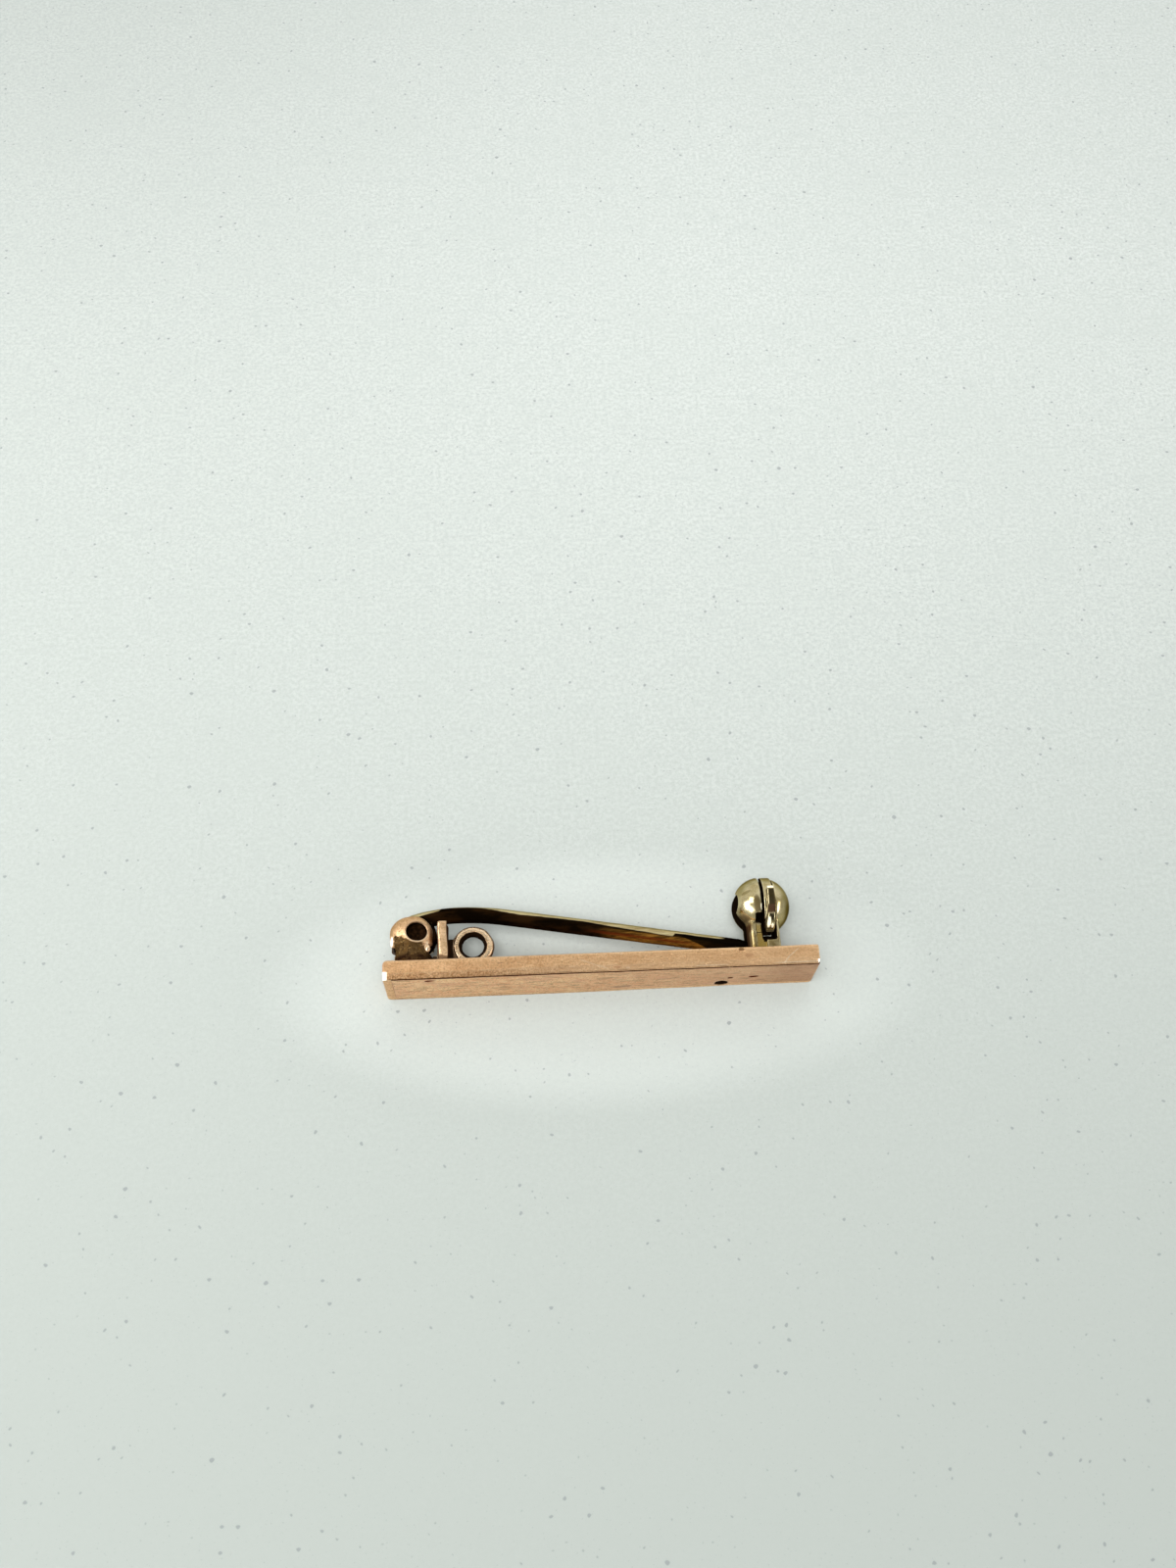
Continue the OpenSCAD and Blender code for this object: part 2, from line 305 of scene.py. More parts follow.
def knuckle(p):
    """The ball joint without its slot and hole: upper half round, lower half a short barrel on a foot."""
    uneven = 0.03 * wave(p, 1.3, 5)
    q = (p - joint_at) * [1 / joint_wide, 1, 1]
    d = np.linalg.norm(q, axis=-1) - joint_r
    barrel_mid = (joint_step_y - joint_at[1]) / 2
    barrel = rod(q, [0, barrel_mid, 0], 1, -barrel_mid, joint_side_r, 0.2)
    d = join(d, barrel, 0.05) + 0.6 * uneven
    d = meet(d, side(p, joint_at + [-1.5, -0.5, 0.66], [-0.86, -0.08, 0.5]), 0.06)
    q = (p - [joint_at[0] + 0.1, joint_step_y / 2 + 0.4, mid_z]) * [1, 1, 1 / 1.12]
    foot = rod(q, [0, 0, 0], 1, joint_step_y / 2 - 0.27, joint_foot_r, 0.05)
    d = join(d, foot + uneven, 0.14)
    curl = ball((p - [joint_at[0] + 1.16, 1.82, mid_z + 1.0]) * [1, 0.6, 1], [0, 0, 0], 0.2)
    d = join(d, curl + 2 * uneven, 0.08)
    skirt = rod(p, [joint_at[0] + 0.1, back_y, mid_z], 1, 0.05, 1.42, 0.04)
    return join(d, skirt + 1.5 * uneven, 0.1)


def joint_form(p):
    """The ball joint, slotted for the pin's eye and drilled for the rivet."""
    slot_y = rivet_at[1] - eye_r - swing_gap
    slot = level_block(p, joint_at[0] + [-far, far], (slot_y, far * 2), joint_slot / 2, 0.03)
    d = cut(knuckle(p), slot, 0.07)
    return cut(d, rod(p, rivet_at, 2, far, rivet_hole_r), 0.07)


def stop_form(p):
    """Upright plate, bent a little, with lumps of solder at its foot and a burr on its left."""
    lean = 0.05 * np.sin(1.9 * (p[..., 1] - back_y)) + 0.03 * np.sin(4.1 * p[..., 2])
    q = p.copy()
    q[..., 0] = p[..., 0] - stop_x - lean
    d = level_block(q, (-stop_t / 2, stop_t / 2), (back_y - 0.03, stop_top), stop_w / 2, 0.13)
    d = d + 0.02 * wave(p, 0.9, 21)
    lump = ball(p, [stop_x - 0.3, back_y + 0.05, mid_z + 0.8], 0.34)
    d = add_lump(d, lump, 0.03, p, 0.5, 22, 0.15)
    low = [stop_x - 0.85, back_y - 0.02, mid_z - 0.5]
    solder = block(p, low, [stop_x, back_y + 0.75, mid_z + 0.45], 0.2)
    d = add_lump(d, solder, 0.06, p, 0.6, 24, 0.12)
    low = [stop_x - stop_t / 2 - 0.1, back_y, mid_z - 0.4]
    burr = block(p, low, [stop_x, back_y + 2.1, mid_z + 0.3], 0.08)
    d = add_lump(d, burr, 0.02, p, 0.5, 25, 0.06)
    rim = rod(p, [stop_x, back_y, mid_z], 1, 0.05, 0.75, 0.04)
    return add_lump(d, rim, 0.04, p, 0.6, 23, 0.1)


def ring_form(p):
    """Ring with a nearly straight inner wall and rounded outer edges, soldered to the bar."""
    along, out = around(p, ring_at, 2)
    uneven = 0.02 * wave(p, 1.1, 31)
    outer = meet(np.abs(along) - ring_h / 2, out - ring_r, 0.31)
    d = meet(outer, ring_r - ring_wire - out, 0.27) + uneven
    low_y = ring_at[1] - ring_r
    fillet = level_block(p, ring_at[0] + [-0.55, 0.55], low_y + [0.02, 0.12], ring_h / 2 - 0.05, 0.05)
    d = join(d, fillet + uneven, 0.12)
    low = [stop_x + 0.2, back_y - 0.02, mid_z - 0.4]
    solder = block(p, low, [ring_at[0] - 1.3, back_y + 2.05, mid_z + 0.2], 0.18)
    d = add_lump(d, solder, 0.05, p, 0.6, 32, 0.12)
    return cut(d, rod(p, ring_at, 2, far, ring_r - ring_wire - 0.02), 0.05)


def rivet_form(p):
    """Rivet across the ball, its ends set and pitted."""
    middle = (rivet_low + rivet_high) / 2
    half = (rivet_high[2] - rivet_low[2]) / 2
    d = rod(p, [rivet_at[0], rivet_at[1], middle[2]], 2, half, rivet_r, 0.08)
    return worn(d, 0.012, p, 0.35, 41)


def arc_wire(p, centre, bend, from_deg, to_deg):
    """Distance to an arc about an axis along Z, level with the middle of the bar."""
    q = p[..., :2] - centre
    turn = np.clip(np.arctan2(q[..., 1], q[..., 0]), math.radians(from_deg), math.radians(to_deg))
    near = np.stack([centre[0] + bend * np.cos(turn), centre[1] + bend * np.sin(turn)], axis=-1)
    flat = p[..., :2] - near
    return np.sqrt((flat ** 2).sum(axis=-1) + (p[..., 2] - mid_z) ** 2)


def shaft_line():
    """Where the straight shaft leaves the arch, and the angle there."""
    centre = arch_top[:2] - [0, arch_bend]
    reach = tip_at[:2] - centre
    far = np.hypot(*reach)
    leave = math.atan2(reach[1], reach[0]) + math.acos(arch_bend / far)
    start = centre + arch_bend * np.array([math.cos(leave), math.sin(leave)])
    return start, math.degrees(leave)


def pin_form(p):
    """Arched wire with a flat eye at one end and a filed point at the other."""
    start, leave = shaft_line()
    root_deg = math.degrees(math.asin((arch_top[0] - rivet_at[0] + root_over) / root_bend))
    root = arc_wire(p, arch_top[:2] - [0, root_bend], root_bend, 90, 90 + root_deg) - pin_r
    arch = arc_wire(p, arch_top[:2] - [0, arch_bend], arch_bend, leave, 90) - pin_r
    run = np.append(tip_at[:2] - start, 0)
    length = np.linalg.norm(run)
    way = run / length
    q = p - [start[0], start[1], mid_z]
    along = q @ way
    out = np.linalg.norm(q - np.clip(along, 0, length - tip_r)[..., None] * way, axis=-1)
    thick = np.interp(
        along,
        [0, length - taper_l - point_l, length - point_l, length - tip_r],
        [pin_r, pin_r, shaft_end_r, tip_r],
    )
    wire = worn(join(join(root, arch, 0.01), out - thick, 0.01), 0.006, p, 1.9, 51)
    eye = rod(p, rivet_at, 2, eye_t / 2, eye_r, 0.1)
    d = join(wire, eye, 0.12)
    return cut(d, rod(p, rivet_at, 2, far, eye_bore_r), 0.05)


def catch_whole(p):
    """Outside of the ball catch: its ball on its foot."""
    uneven = 0.006 * wave(p, 1.6, 61)
    d = ball(p, ball_at, ball_r - 0.01) + uneven
    half = foot_w / 2
    foot = level_block(p, (foot_x0, foot_x1), (back_y - 0.02, ball_at[1] - ball_r / 2 + 0.4), half, 0.07)
    corner = 0.17
    for way in (1, -1):
        place = [foot_x0 + corner, 0, mid_z + way * (half - corner)]
        foot = meet(foot, side(p, place, [-1, 0, way]), 0.22)
    corner = 0.06
    foot = meet(foot, side(p, [foot_x1 - corner, 0, mid_z + half - corner], [1, 0, 1]), 0.08)
    return join(d, foot + uneven, 0.1)


def catch_form(p):
    """The ball catch: two cups with a slot between them, a web below it, a mouth, a window and a bed."""
    cup = meet(ball(p, ball_at, ball_r - cup_t), side(p, [slot_x0 + 0.4, 0, 0], [1, 0, 0]))
    slot = block(p, [slot_x0, slot_floor, web_z1], [slot_x1, 2 * far, 2 * far], 0.2)
    low = [rotor_at[0] - rotor_t / 2 - 0.05, slot_floor, -far]
    narrow = block(p, low, [slot_x1, 2 * far, mid_z + 0.3], 0.05)
    web = block(p, [slot_x0 - 1, 0, -far], [slot_x1 + 1, web_y1, web_z1], 0.05)
    web = np.maximum(web, rotor_r + swing_gap - around(p, rotor_at, 0)[1])
    left = ball_at[0] - far
    way = level_block(p, (left, slot_x0 + 0.25), (-far, 2 * far), pin_way / 2, 0.02)
    bed = level_block(p, (left, tip_at[0] + 0.2), (-far, slot_floor + 1), pin_way / 2, 0.02)
    mouth = rod(p, [ball_at[0] - 2.2, ball_at[1] + mouth_dy, mid_z + mouth_dz], 0, 1.9, mouth_r)
    low_x, high_x = slot_x0 - window_w, slot_x0 + 0.25
    window = block(p, [low_x, window_y0, mid_z + 0.4 * ball_r], [high_x, window_y1, 2 * far], 0.08)
    low = [low_x, back_y + 0.24, mid_z + foot_w / 2 - 0.3]
    hollow = block(p, low, [high_x, window_y0 + 0.25, 2 * far], 0.06)
    bearing = rod(p, [slot_x1 + 0.2, ball_at[1], mid_z], 0, 0.5, pivot_r + 0.05)
    slot = cut(np.minimum(slot, narrow), web, 0.03)
    d = catch_whole(p)
    for gone, soft in [(cup, 0.03), (slot, 0.11), (way, 0.06), (bed, 0.05), (mouth, 0.07), (window, 0.04),
                       (hollow, 0.05), (bearing, 0.03)]:
        d = cut(d, gone, soft)
    return d


def rotor_form(p):
    """Grooved disc with its pivot, and the thumb tab on its rim."""
    x0 = rotor_at[0] - rotor_t / 2
    disc = rod(p, rotor_at, 0, rotor_t / 2, rotor_r, 0.07)
    groove = level_block(p, (x0 - 1, x0 + groove_t), (-far, 2 * far), groove_w / 2, 0.03)
    disc = cut(disc, groove, 0.05)
    pivot = rod(p, [x0 + groove_t + pivot_half, rotor_at[1], rotor_at[2]], 0, pivot_half, pivot_r, 0.04)
    d = join(disc, pivot, 0.03)
    q = p - rotor_at
    out = np.hypot(q[..., 1], q[..., 2])
    turn = np.arctan2(q[..., 1], q[..., 2])
    ends = (np.abs(turn - (tab_up - tab_down) / 2) - (tab_up + tab_down) / 2) * np.maximum(out, 0.5)
    rise = np.interp(
        turn,
        np.radians([-66, -60, -50, -36, -31, -27, -18, -6, 3, 8, 15]),
        [2.56, 2.62, flare_r, 2.62, 2.52, 2.42, 2.38, 2.38, 2.42, 2.52, 2.50],
    )
    wide = np.interp(turn, np.radians([-66, -52, -34, 0, 15]), [0.26, 0.3, 0.24, 0.24, 0.24])
    aside = np.interp(turn, np.radians([-50, -20]), [-0.01, 0.12])
    tab = meet(np.abs(q[..., 0] - aside) - wide, out - rise, 0.08)
    tab = meet(tab, rotor_r - 0.3 - out, 0.0)
    tab = meet(tab, ends, 0.08)
    return join(d, tab, 0.05)


# Meshes from forms

FINE = 0.042
ROUGH = 0.3
GROW = 0.25


def ruler(low, high, step, close=()):
    """Grid lines from low to high, closer together in and near the stretches listed in close."""
    marks = [low]
    while marks[-1] < high:
        at = marks[-1]
        off = min((max(a - at, at - b, 0) for a, b in close), default=math.inf)
        marks.append(at + min(step, FINE + GROW * off))
    return np.array(marks)


def cube_grid(low, high, step=FINE):
    return [ruler(a, b, step) for a, b in zip(low, high)]


def bar_grid():
    """Grid lines that are close together at the bar's ends, edges, seam and nicks."""
    nick_x = [(at[0] - size[0] - 0.05, at[0] + size[0] + 0.05) for at, size in FACE_NICKS]
    nick_z = [(at[1] - size[2] - 0.03, at[1] + size[2] + 0.03) for at, size in FACE_NICKS]
    ends = [(bar_x0 - 0.1, bar_x0 + 1.1), (bar_x1 - 1.0, bar_x1 + 0.1)]
    edges = [(-0.1, 0.45), (bar_w - 0.4, bar_w + 0.1)]
    return [
        ruler(bar_x0 - 0.1, bar_x1 + 0.1, ROUGH, ends + nick_x),
        ruler(front_y - 0.2, back_y + 0.1, 0.12, [(front_y - 0.15, front_y + 0.25), (0.45, 0.8)]),
        ruler(-0.1, bar_w + 0.1, 0.15, edges + nick_z),
    ]


def pin_grid():
    """Grid lines that are close together along the pin at its eye and at its point."""
    close = [(rivet_at[0] - 1.6, rivet_at[0] + 1.6), (tip_at[0] - 0.4, tip_at[0] + 0.2)]
    return [
        ruler(rivet_at[0] - 1.6, tip_at[0] + 0.2, 0.12, close),
        ruler(back_y - 0.2, arch_top[1] + 0.8, FINE),
        ruler(mid_z - 0.75, mid_z + 0.75, FINE),
    ]


POINTS_AT_ONCE = 300_000


def distances(form, xs, ys, zs):
    """A form's distances at every crossing of three sets of grid lines."""
    field = np.empty((len(xs), len(ys), len(zs)))
    slab = max(1, POINTS_AT_ONCE // (len(ys) * len(zs)))
    for i in range(0, len(xs), slab):
        grid = np.stack(np.meshgrid(xs[i:i + slab], ys, zs, indexing="ij"), axis=-1)
        field[i:i + slab] = form(grid)
    return field


def slope(form, points, reach=1e-3):
    """Unit directions straight out of the form's skin."""
    out = np.empty_like(points)
    for i, step in enumerate(reach * np.eye(3)):
        out[:, i] = form(points + step) - form(points - step)
    length = np.linalg.norm(out, axis=1, keepdims=True)
    return out / np.maximum(length, 1e-12), length[:, 0] / (2 * reach)


CORNERS = [(i, j, k) for k in (0, 1) for j in (0, 1) for i in (0, 1)]
CELL_EDGES = [(a, b) for a in range(8) for b in range(a + 1, 8)
              if sum(abs(i - j) for i, j in zip(CORNERS[a], CORNERS[b])) == 1]


def net(field, xs, ys, zs):
    """One point in each cell that the skin crosses, and a face across each grid line that it cuts."""
    inside = field < 0
    count = np.zeros(np.array(field.shape) - 1, np.int8)
    for i, j, k in CORNERS:
        count += inside[i:i + count.shape[0], j:j + count.shape[1], k:k + count.shape[2]]
    cells = np.argwhere((count > 0) & (count < 8))
    number = np.full(count.shape, -1)
    number[tuple(cells.T)] = np.arange(len(cells))
    ends = [tuple((cells + c).T) for c in CORNERS]
    places = [np.stack([xs[i], ys[j], zs[k]], axis=1) for i, j, k in ends]
    values = [field[end] for end in ends]
    total = np.zeros((len(cells), 3))
    hits = np.zeros(len(cells))
    for a, b in CELL_EDGES:
        crossed = (values[a] < 0) != (values[b] < 0)
        share = values[a][crossed] / (values[a][crossed] - values[b][crossed])
        total[crossed] += places[a][crossed] + share[:, None] * (places[b][crossed] - places[a][crossed])
        hits[crossed] += 1
    points = total / hits[:, None]
    faces = []
    for axis in range(3):
        one, two = (axis + 1) % 3, (axis + 2) % 3
        below = np.moveaxis(inside, axis, 0)[:-1]
        above = np.moveaxis(inside, axis, 0)[1:]
        spots = np.argwhere(np.moveaxis(below != above, 0, axis))
        ring = []
        for back_one, back_two in ((1, 1), (0, 1), (0, 0), (1, 0)):
            spot = spots.copy()
            spot[:, one] -= back_one
            spot[:, two] -= back_two
            ring.append(number[tuple(spot.T)])
        quads = np.stack(ring, axis=1)
        outward = inside[tuple(spots.T)]
        quads[~outward] = quads[~outward][:, ::-1]
        faces.append(quads)
    return points, np.concatenate(faces)


EVEN_ROUNDS = 2
EVEN_SHARE = 0.4
LEAST_STEEP = 0.3
LONGEST_MOVE = 0.05


def settle(form, points, faces):
    """Evens the points out along the skin and brings them back onto it."""
    ends = np.concatenate([faces[:, [i, (i + 1) % 4]] for i in range(4)])
    pairs = [(ends[:, 0], ends[:, 1]), (ends[:, 1], ends[:, 0])]
    weight = sum(np.bincount(a, minlength=len(points)) for a, b in pairs)
    for turn in range(EVEN_ROUNDS + 1):
        if turn < EVEN_ROUNDS:
            total = [sum(np.bincount(a, points[b, i], len(points)) for a, b in pairs) for i in range(3)]
            mean = np.stack(total, axis=1) / weight[:, None]
            points = points + EVEN_SHARE * (mean - points)
        for _ in range(2):
            out, steep = slope(form, points)
            move = form(points) / np.maximum(steep, LEAST_STEEP)
            points = points - out * np.clip(move, -LONGEST_MOVE, LONGEST_MOVE)[:, None]
    return points


GRIME_AND_SHADE_REACHES = (0.08, 0.2, 0.45)


def shut_in(forms, points, out):
    """How much nearby metal closes in on each point of a skin, from 0 in the open to 1 in a corner."""
    total = np.zeros(len(points))
    for reach in GRIME_AND_SHADE_REACHES:
        near = np.min([form(points + out * reach) for form in forms], axis=0)
        total += np.clip(1 - near / reach, 0, 1)
    return total / len(GRIME_AND_SHADE_REACHES)


def rounding(form, points, reach=0.05):
    """How sharply the skin bends outward at each point, as one over millimetres."""
    total = -6 * form(points)
    for step in reach * np.eye(3):
        total += form(points + step) + form(points - step)
    return total / reach ** 2


SHARPEST_BEND = 10
DEEPEST_MARK = 2


def piece(name, form, grid, node, material, neighbours=(), whole=None, body="brooch"):
    """Nets a form into a mesh, marks its corners, edges and recesses, and hangs it on the frame."""
    points, faces = net(distances(form, *grid), *grid)
    points = settle(form, points, faces)
    out, _ = slope(form, points)
    mesh = bpy.data.meshes.new(name)
    mesh.from_pydata((points * MM).tolist(), [], faces.tolist())
    mesh.polygons.foreach_set("use_smooth", np.ones(len(faces), bool))
    marks = {
        # how closely nearby metal closes in, used by the materials as dirt and painted shade
        "grime_and_shade": shut_in([form, *neighbours], points, out),
        "bend": np.clip(rounding(form, points) / SHARPEST_BEND, -1, 1),
        "depth": np.zeros(len(points)) if whole is None else np.clip(-whole(points), 0, DEEPEST_MARK),
    }
    for label, values in marks.items():
        mesh.attributes.new(label, "FLOAT", "POINT").data.foreach_set("value", values.astype(np.float32))
    mesh.update()
    obj = bpy.data.objects.new(name, mesh)
    scene.collection.objects.link(obj)
    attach(obj, body)
    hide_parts(node)
    mesh.materials.append(material)


# Shader maths

def maths(operation):
    """A method that puts one maths node between a shader value and another value."""
    return lambda tone, other: tone.recipe.math(operation, tone, other)


class Tone:
    """A shader value that is used in plain arithmetic."""

    __add__ = __radd__ = maths("ADD")
    __sub__ = maths("SUBTRACT")
    __mul__ = __rmul__ = maths("MULTIPLY")
    __truediv__ = maths("DIVIDE")
    least = maths("MINIMUM")
    most = maths("MAXIMUM")

    def __init__(self, recipe, socket):
        self.recipe = recipe
        self.socket = socket

    def __rsub__(self, other):
        return self.recipe.math("SUBTRACT", other, self)

    def __abs__(self):
        return self.recipe.math("ABSOLUTE", self)

    def rise(self, low, high):
        """0 up to low, 1 from high on, and a smooth step between them."""
        values = {"Value": self, "From Min": low, "From Max": high}
        return self.recipe.tone("ShaderNodeMapRange", {"interpolation_type": "SMOOTHSTEP"}, values)

    def fall(self, low, high):
        """1 up to low, 0 from high on."""
        return 1 - self.rise(low, high)

    def band(self, low, high, soft):
        """1 between low and high, with soft ends."""
        return self.rise(low - soft, low + soft) * self.fall(high - soft, high + soft)


class Recipe:
    """The node tree of a material or of the world, and the one way that nodes are added to it."""

    def __init__(self, owner):
        owner.use_nodes = True
        self.owner = owner
        self.tree = owner.node_tree
        self.tree.nodes.clear()

    def node(self, kind, settings=None, values=None):
        made = self.tree.nodes.new(kind)
        for key, value in (settings or {}).items():
            setattr(made, key, value)
        for key, value in (values or {}).items():
            if isinstance(value, Tone):
                value = value.socket
            if isinstance(value, bpy.types.NodeSocket):
                self.tree.links.new(value, made.inputs[key])
            else:
                made.inputs[key].default_value = value
        return made

    def tone(self, kind, settings=None, values=None, out=0):
        """One value that a new node gives."""
        return Tone(self, self.node(kind, settings, values).outputs[out])

    def math(self, operation, *values):
        return self.tone("ShaderNodeMath", {"operation": operation}, dict(enumerate(values)))

    def facing(self):
        """Which way the skin faces, in the piece's own axes, as three values."""
        return self.parts(self.node("ShaderNodeTexCoord").outputs["Normal"])

    def profile(self, tone, points):
        """A value that follows straight lines between points given as (tone, value), both from 0 to 1."""
        made = self.node("ShaderNodeValToRGB", values={"Fac": tone})
        ramp = made.color_ramp
        while len(ramp.elements) < len(points):
            ramp.elements.new(0.5)
        for stop, (at, value) in zip(ramp.elements, points):
            stop.position = at
            stop.color = (value, value, value, 1)
        return Tone(self, made.outputs["Color"])

    def place(self):
        """Places on the piece in millimetres, as a vector socket."""
        made = self.node("ShaderNodeTexCoord")
        scaled = self.node("ShaderNodeVectorMath", {"operation": "SCALE"},
                           {0: made.outputs["Object"], "Scale": 1 / MM})
        return scaled.outputs[0]

    def parts(self, vector):
        made = self.node("ShaderNodeSeparateXYZ", values={0: vector})
        return [Tone(self, made.outputs[i]) for i in range(3)]

    def stretch(self, vector, x):
        """Places that change more slowly along the bar, for marks that run lengthwise."""
        made = self.node("ShaderNodeMapping", values={"Vector": vector, "Scale": (x, 1, 1)})
        return made.outputs[0]

    def noise(self, vector, per_mm, detail, rough, warp=0.0):
        return self.tone("ShaderNodeTexNoise", values={
            "Vector": vector, "Scale": per_mm, "Detail": detail, "Roughness": rough, "Distortion": warp})

    def mark(self, label):
        """A mark kept on the mesh by piece()."""
        return self.tone("ShaderNodeAttribute", {"attribute_name": label}, out="Fac")

    def mix(self, share, first, second):
        """A colour between two, each made by nodes or given as it looks on a screen."""
        first, second = [paint(*c) if isinstance(c, tuple) else c for c in (first, second)]
        made = self.node("ShaderNodeMix", {"data_type": "RGBA"}, {"Factor": share, 6: first, 7: second})
        return made.outputs[2]

    def lay_marks_and_light(self, rows, colour, rough, metal):
        """Colour, roughness and metalness under a list of marks, real ones and painted light and shade,
        each given as share, tint, dulling and hiding.
        """
        for share, tint, dull, matt in rows:
            colour = self.mix(share, colour, tint)
            rough = rough + share * dull
            if matt:
                metal = metal * (1 - share * matt)
        return colour, rough, metal

    def bump(self, height, depth):
        """A normal bent by a height, whose full range stands for a depth in millimetres."""
        values = {"Height": height, "Distance": depth * MM, "Strength": 1.0}
        return self.node("ShaderNodeBump", values=values).outputs[0]

    def finish(self, colour, rough, normal, metal=0.0, rim=(1.0, 1.0, 1.0, 1.0), shine=0.0):
        """Gives the material its surface, and hands the material back."""
        surface = self.node("ShaderNodeBsdfPrincipled", values={
            "Base Color": colour, "Roughness": rough, "Normal": normal, "Metallic": metal,
            "Specular Tint": rim, "Specular IOR Level": shine})
        self.node("ShaderNodeOutputMaterial", values={"Surface": surface.outputs[0]})
        return self.owner


def new_recipe(name):
    """The recipe of a new material, and places on its piece."""
    r = Recipe(bpy.data.materials.new(name))
    return r, r.place()


def paint(red, green, blue):
    """A colour given as it looks on a screen, 0 to 255, as linear light."""
    shares = [c / 255 for c in (red, green, blue)]
    light = [s / 12.92 if s <= 0.04045 else ((s + 0.055) / 1.055) ** 2.4 for s in shares]
    return (*light, 1.0)


# Materials

BLACK = (14, 8, 4)
DARK_BROWN = (52, 30, 14)
RED_BROWN = (84, 40, 22)
OLIVE_BROWN = (56, 38, 10)
PALE = (252, 226, 190)
GLINT = (255, 246, 214)

# colours of the metals seen edge on
ROSE_EDGE = (0.55, 0.40, 0.30, 1.0)
GREEN_EDGE = (0.42, 0.37, 0.26, 1.0)


def oval(along, across, middle, size, angle=0.0):
    """1 in the middle of an oval mark, falling to 0 at its edge; sizes in millimetres."""
    c, s = math.cos(angle), math.sin(angle)
    u = (along - middle[0]) * (c / size[0]) + (across - middle[1]) * (s / size[0])
    v = (across - middle[1]) * (c / size[1]) - (along - middle[0]) * (s / size[1])
    return (u * u + v * v).fall(0.45, 1.1)


def line_mark(along, across, start, end, width):
    """1 on a straight scratch between two places."""
    run = np.subtract(end, start)
    length = float(np.hypot(*run))
    c, s = run / length
    u = (along - start[0]) * c + (across - start[1]) * s
    v = (across - start[1]) * c - (along - start[0]) * s
    return abs(v).fall(0.3 * width, width) * u.band(0, length, 0.1 * length)


def distance(along, across, middle):
    """Distance from an axis, in millimetres."""
    u = along - middle[0]
    v = across - middle[1]
    return along.recipe.math("SQRT", u * u + v * v)


# scratches on the bar's upper side: start, end and width of each straight stretch
SCRATCH = [((-1.52, 0.2), (-0.54, -0.19), 0.05), ((-0.54, -0.19), (0.32, -0.5), 0.05)]
CURVE = [((12.5, -0.6), (12.83, -0.17), 0.07), ((12.8, -0.2), (13.2, 0.12), 0.06),
         ((13.15, 0.08), (13.6, 0.45), 0.05)]


# Each row, a stain or a patch of painted shade or highlight, is a share from 0 to 1, its tint, how much it
# dulls the polish, and how far it hides the metal.

def tray_marks_and_light(r, place, x, y, z):
    """Marks on the bar's upper side: dirt in the seam, a worn dark band, spots and scratches, painted shade
    along the left end's top edge, and painted highlights on its two worn corners.
    """
    top = z.rise(4.02, 4.12)
    front = y.fall(-0.3, -0.2)
    fleck = r.noise(place, 6.5, 3, 0.7)
    depth = r.mark("depth")
    seam_part = x.rise(bar_x0 + 0.56, bar_x0 + 0.62)
    band = z.rise(4.02, 4.08) * y.band(-0.8, -0.3, 0.12) * (0.3 + x.fall(-9, -2) * 0.7)
    lip = z.band(3.9, 4.13, 0.015) * y.fall(-0.64, -0.6) * seam_part
    pale_part = (x.rise(11.5, 12.6) + x.band(6.4, 8.6, 0.2) * 0.6).least(1)
    pale_strip = top * y.band(-0.6, -0.52, 0.04) * pale_part
    spot = oval(x, y, (9.62, 0.5), (0.24, 0.14)) + oval(x, y, (9.4, 0.36), (0.14, 0.1)) * 0.7
    spot = spot + oval(x, y, (6.73, 0.6), (0.09, 0.06)) * 0.7
    flush = oval(x, y, (10.1, 0.05), (0.3, 0.14)) + oval(x, y, (1.0, -0.45), (0.25, 0.12))
    worn = oval(x, y, (1.25, 0.52), (0.16, 0.14)) + oval(x, y, (1.72, -0.5), (0.16, 0.12))
    scratch, curve = [sum(line_mark(x, y, *line) for line in lines) for lines in (SCRATCH, CURVE)]
    # painted shade along the top edge of the left end
    end_edge_shade = x.fall(bar_x0 + 0.05, bar_x0 + 0.2) * y.rise(-0.3, -0.15) * top
    # painted highlights on the worn front corners at both ends
    worn_corner_highlight = x.fall(bar_x0 + 0.28, bar_x0 + 0.34) * y.fall(-0.2, -0.1) * z.rise(3.9, 4.0)
    far_corner_highlight = x.rise(bar_x1 - 0.2, bar_x1 - 0.14) * y.fall(-0.42, -0.36) * z.rise(3.95, 4.05)
    return [
        (band * fleck.rise(0.32, 0.64) * 0.9, (100, 64, 30), 0.1, 0.2),
        (x.fall(-14, 3) * 0.25, (214, 160, 104), 0.02, 0),
        (x.rise(-6, 7) * 0.45, (255, 206, 152), 0.0, 0),
        (pale_strip * 0.6, PALE, -0.1, 0),
        (top * worn * fleck.rise(0.4, 0.6) * 0.45, PALE, -0.05, 0),
        (top * flush * 0.4, (186, 122, 88), 0.0, 0),
        (top * spot.least(1) * fleck.rise(0.2, 0.45) * 0.9, (60, 36, 10), 0.2, 0.8),
        (top * (scratch * 0.45 + curve * 0.55).least(1), PALE, -0.1, 0),
        # painted shade on the left end's edge
        (end_edge_shade * 0.6, (120, 84, 56), 0.3, 0.3),
        # painted highlights on the worn corners
        (worn_corner_highlight.most(far_corner_highlight), (255, 244, 226), -0.1, 0.8),
        (lip * 0.95, (52, 22, 8), 0.2, 1.0),
        (depth.rise(0.02, 0.09) * front * seam_part, RED_BROWN, 0.2, 0.7),
        (depth.rise(0.08, 0.15) * seam_part, (40, 18, 10), 0.3, 1.0),
        (y.fall(-0.6, -0.5) * oval(x, z, FACE_NICKS[0][0], (0.55, 0.56), 0.12), BLACK, 0.3, 1.0),
    ]


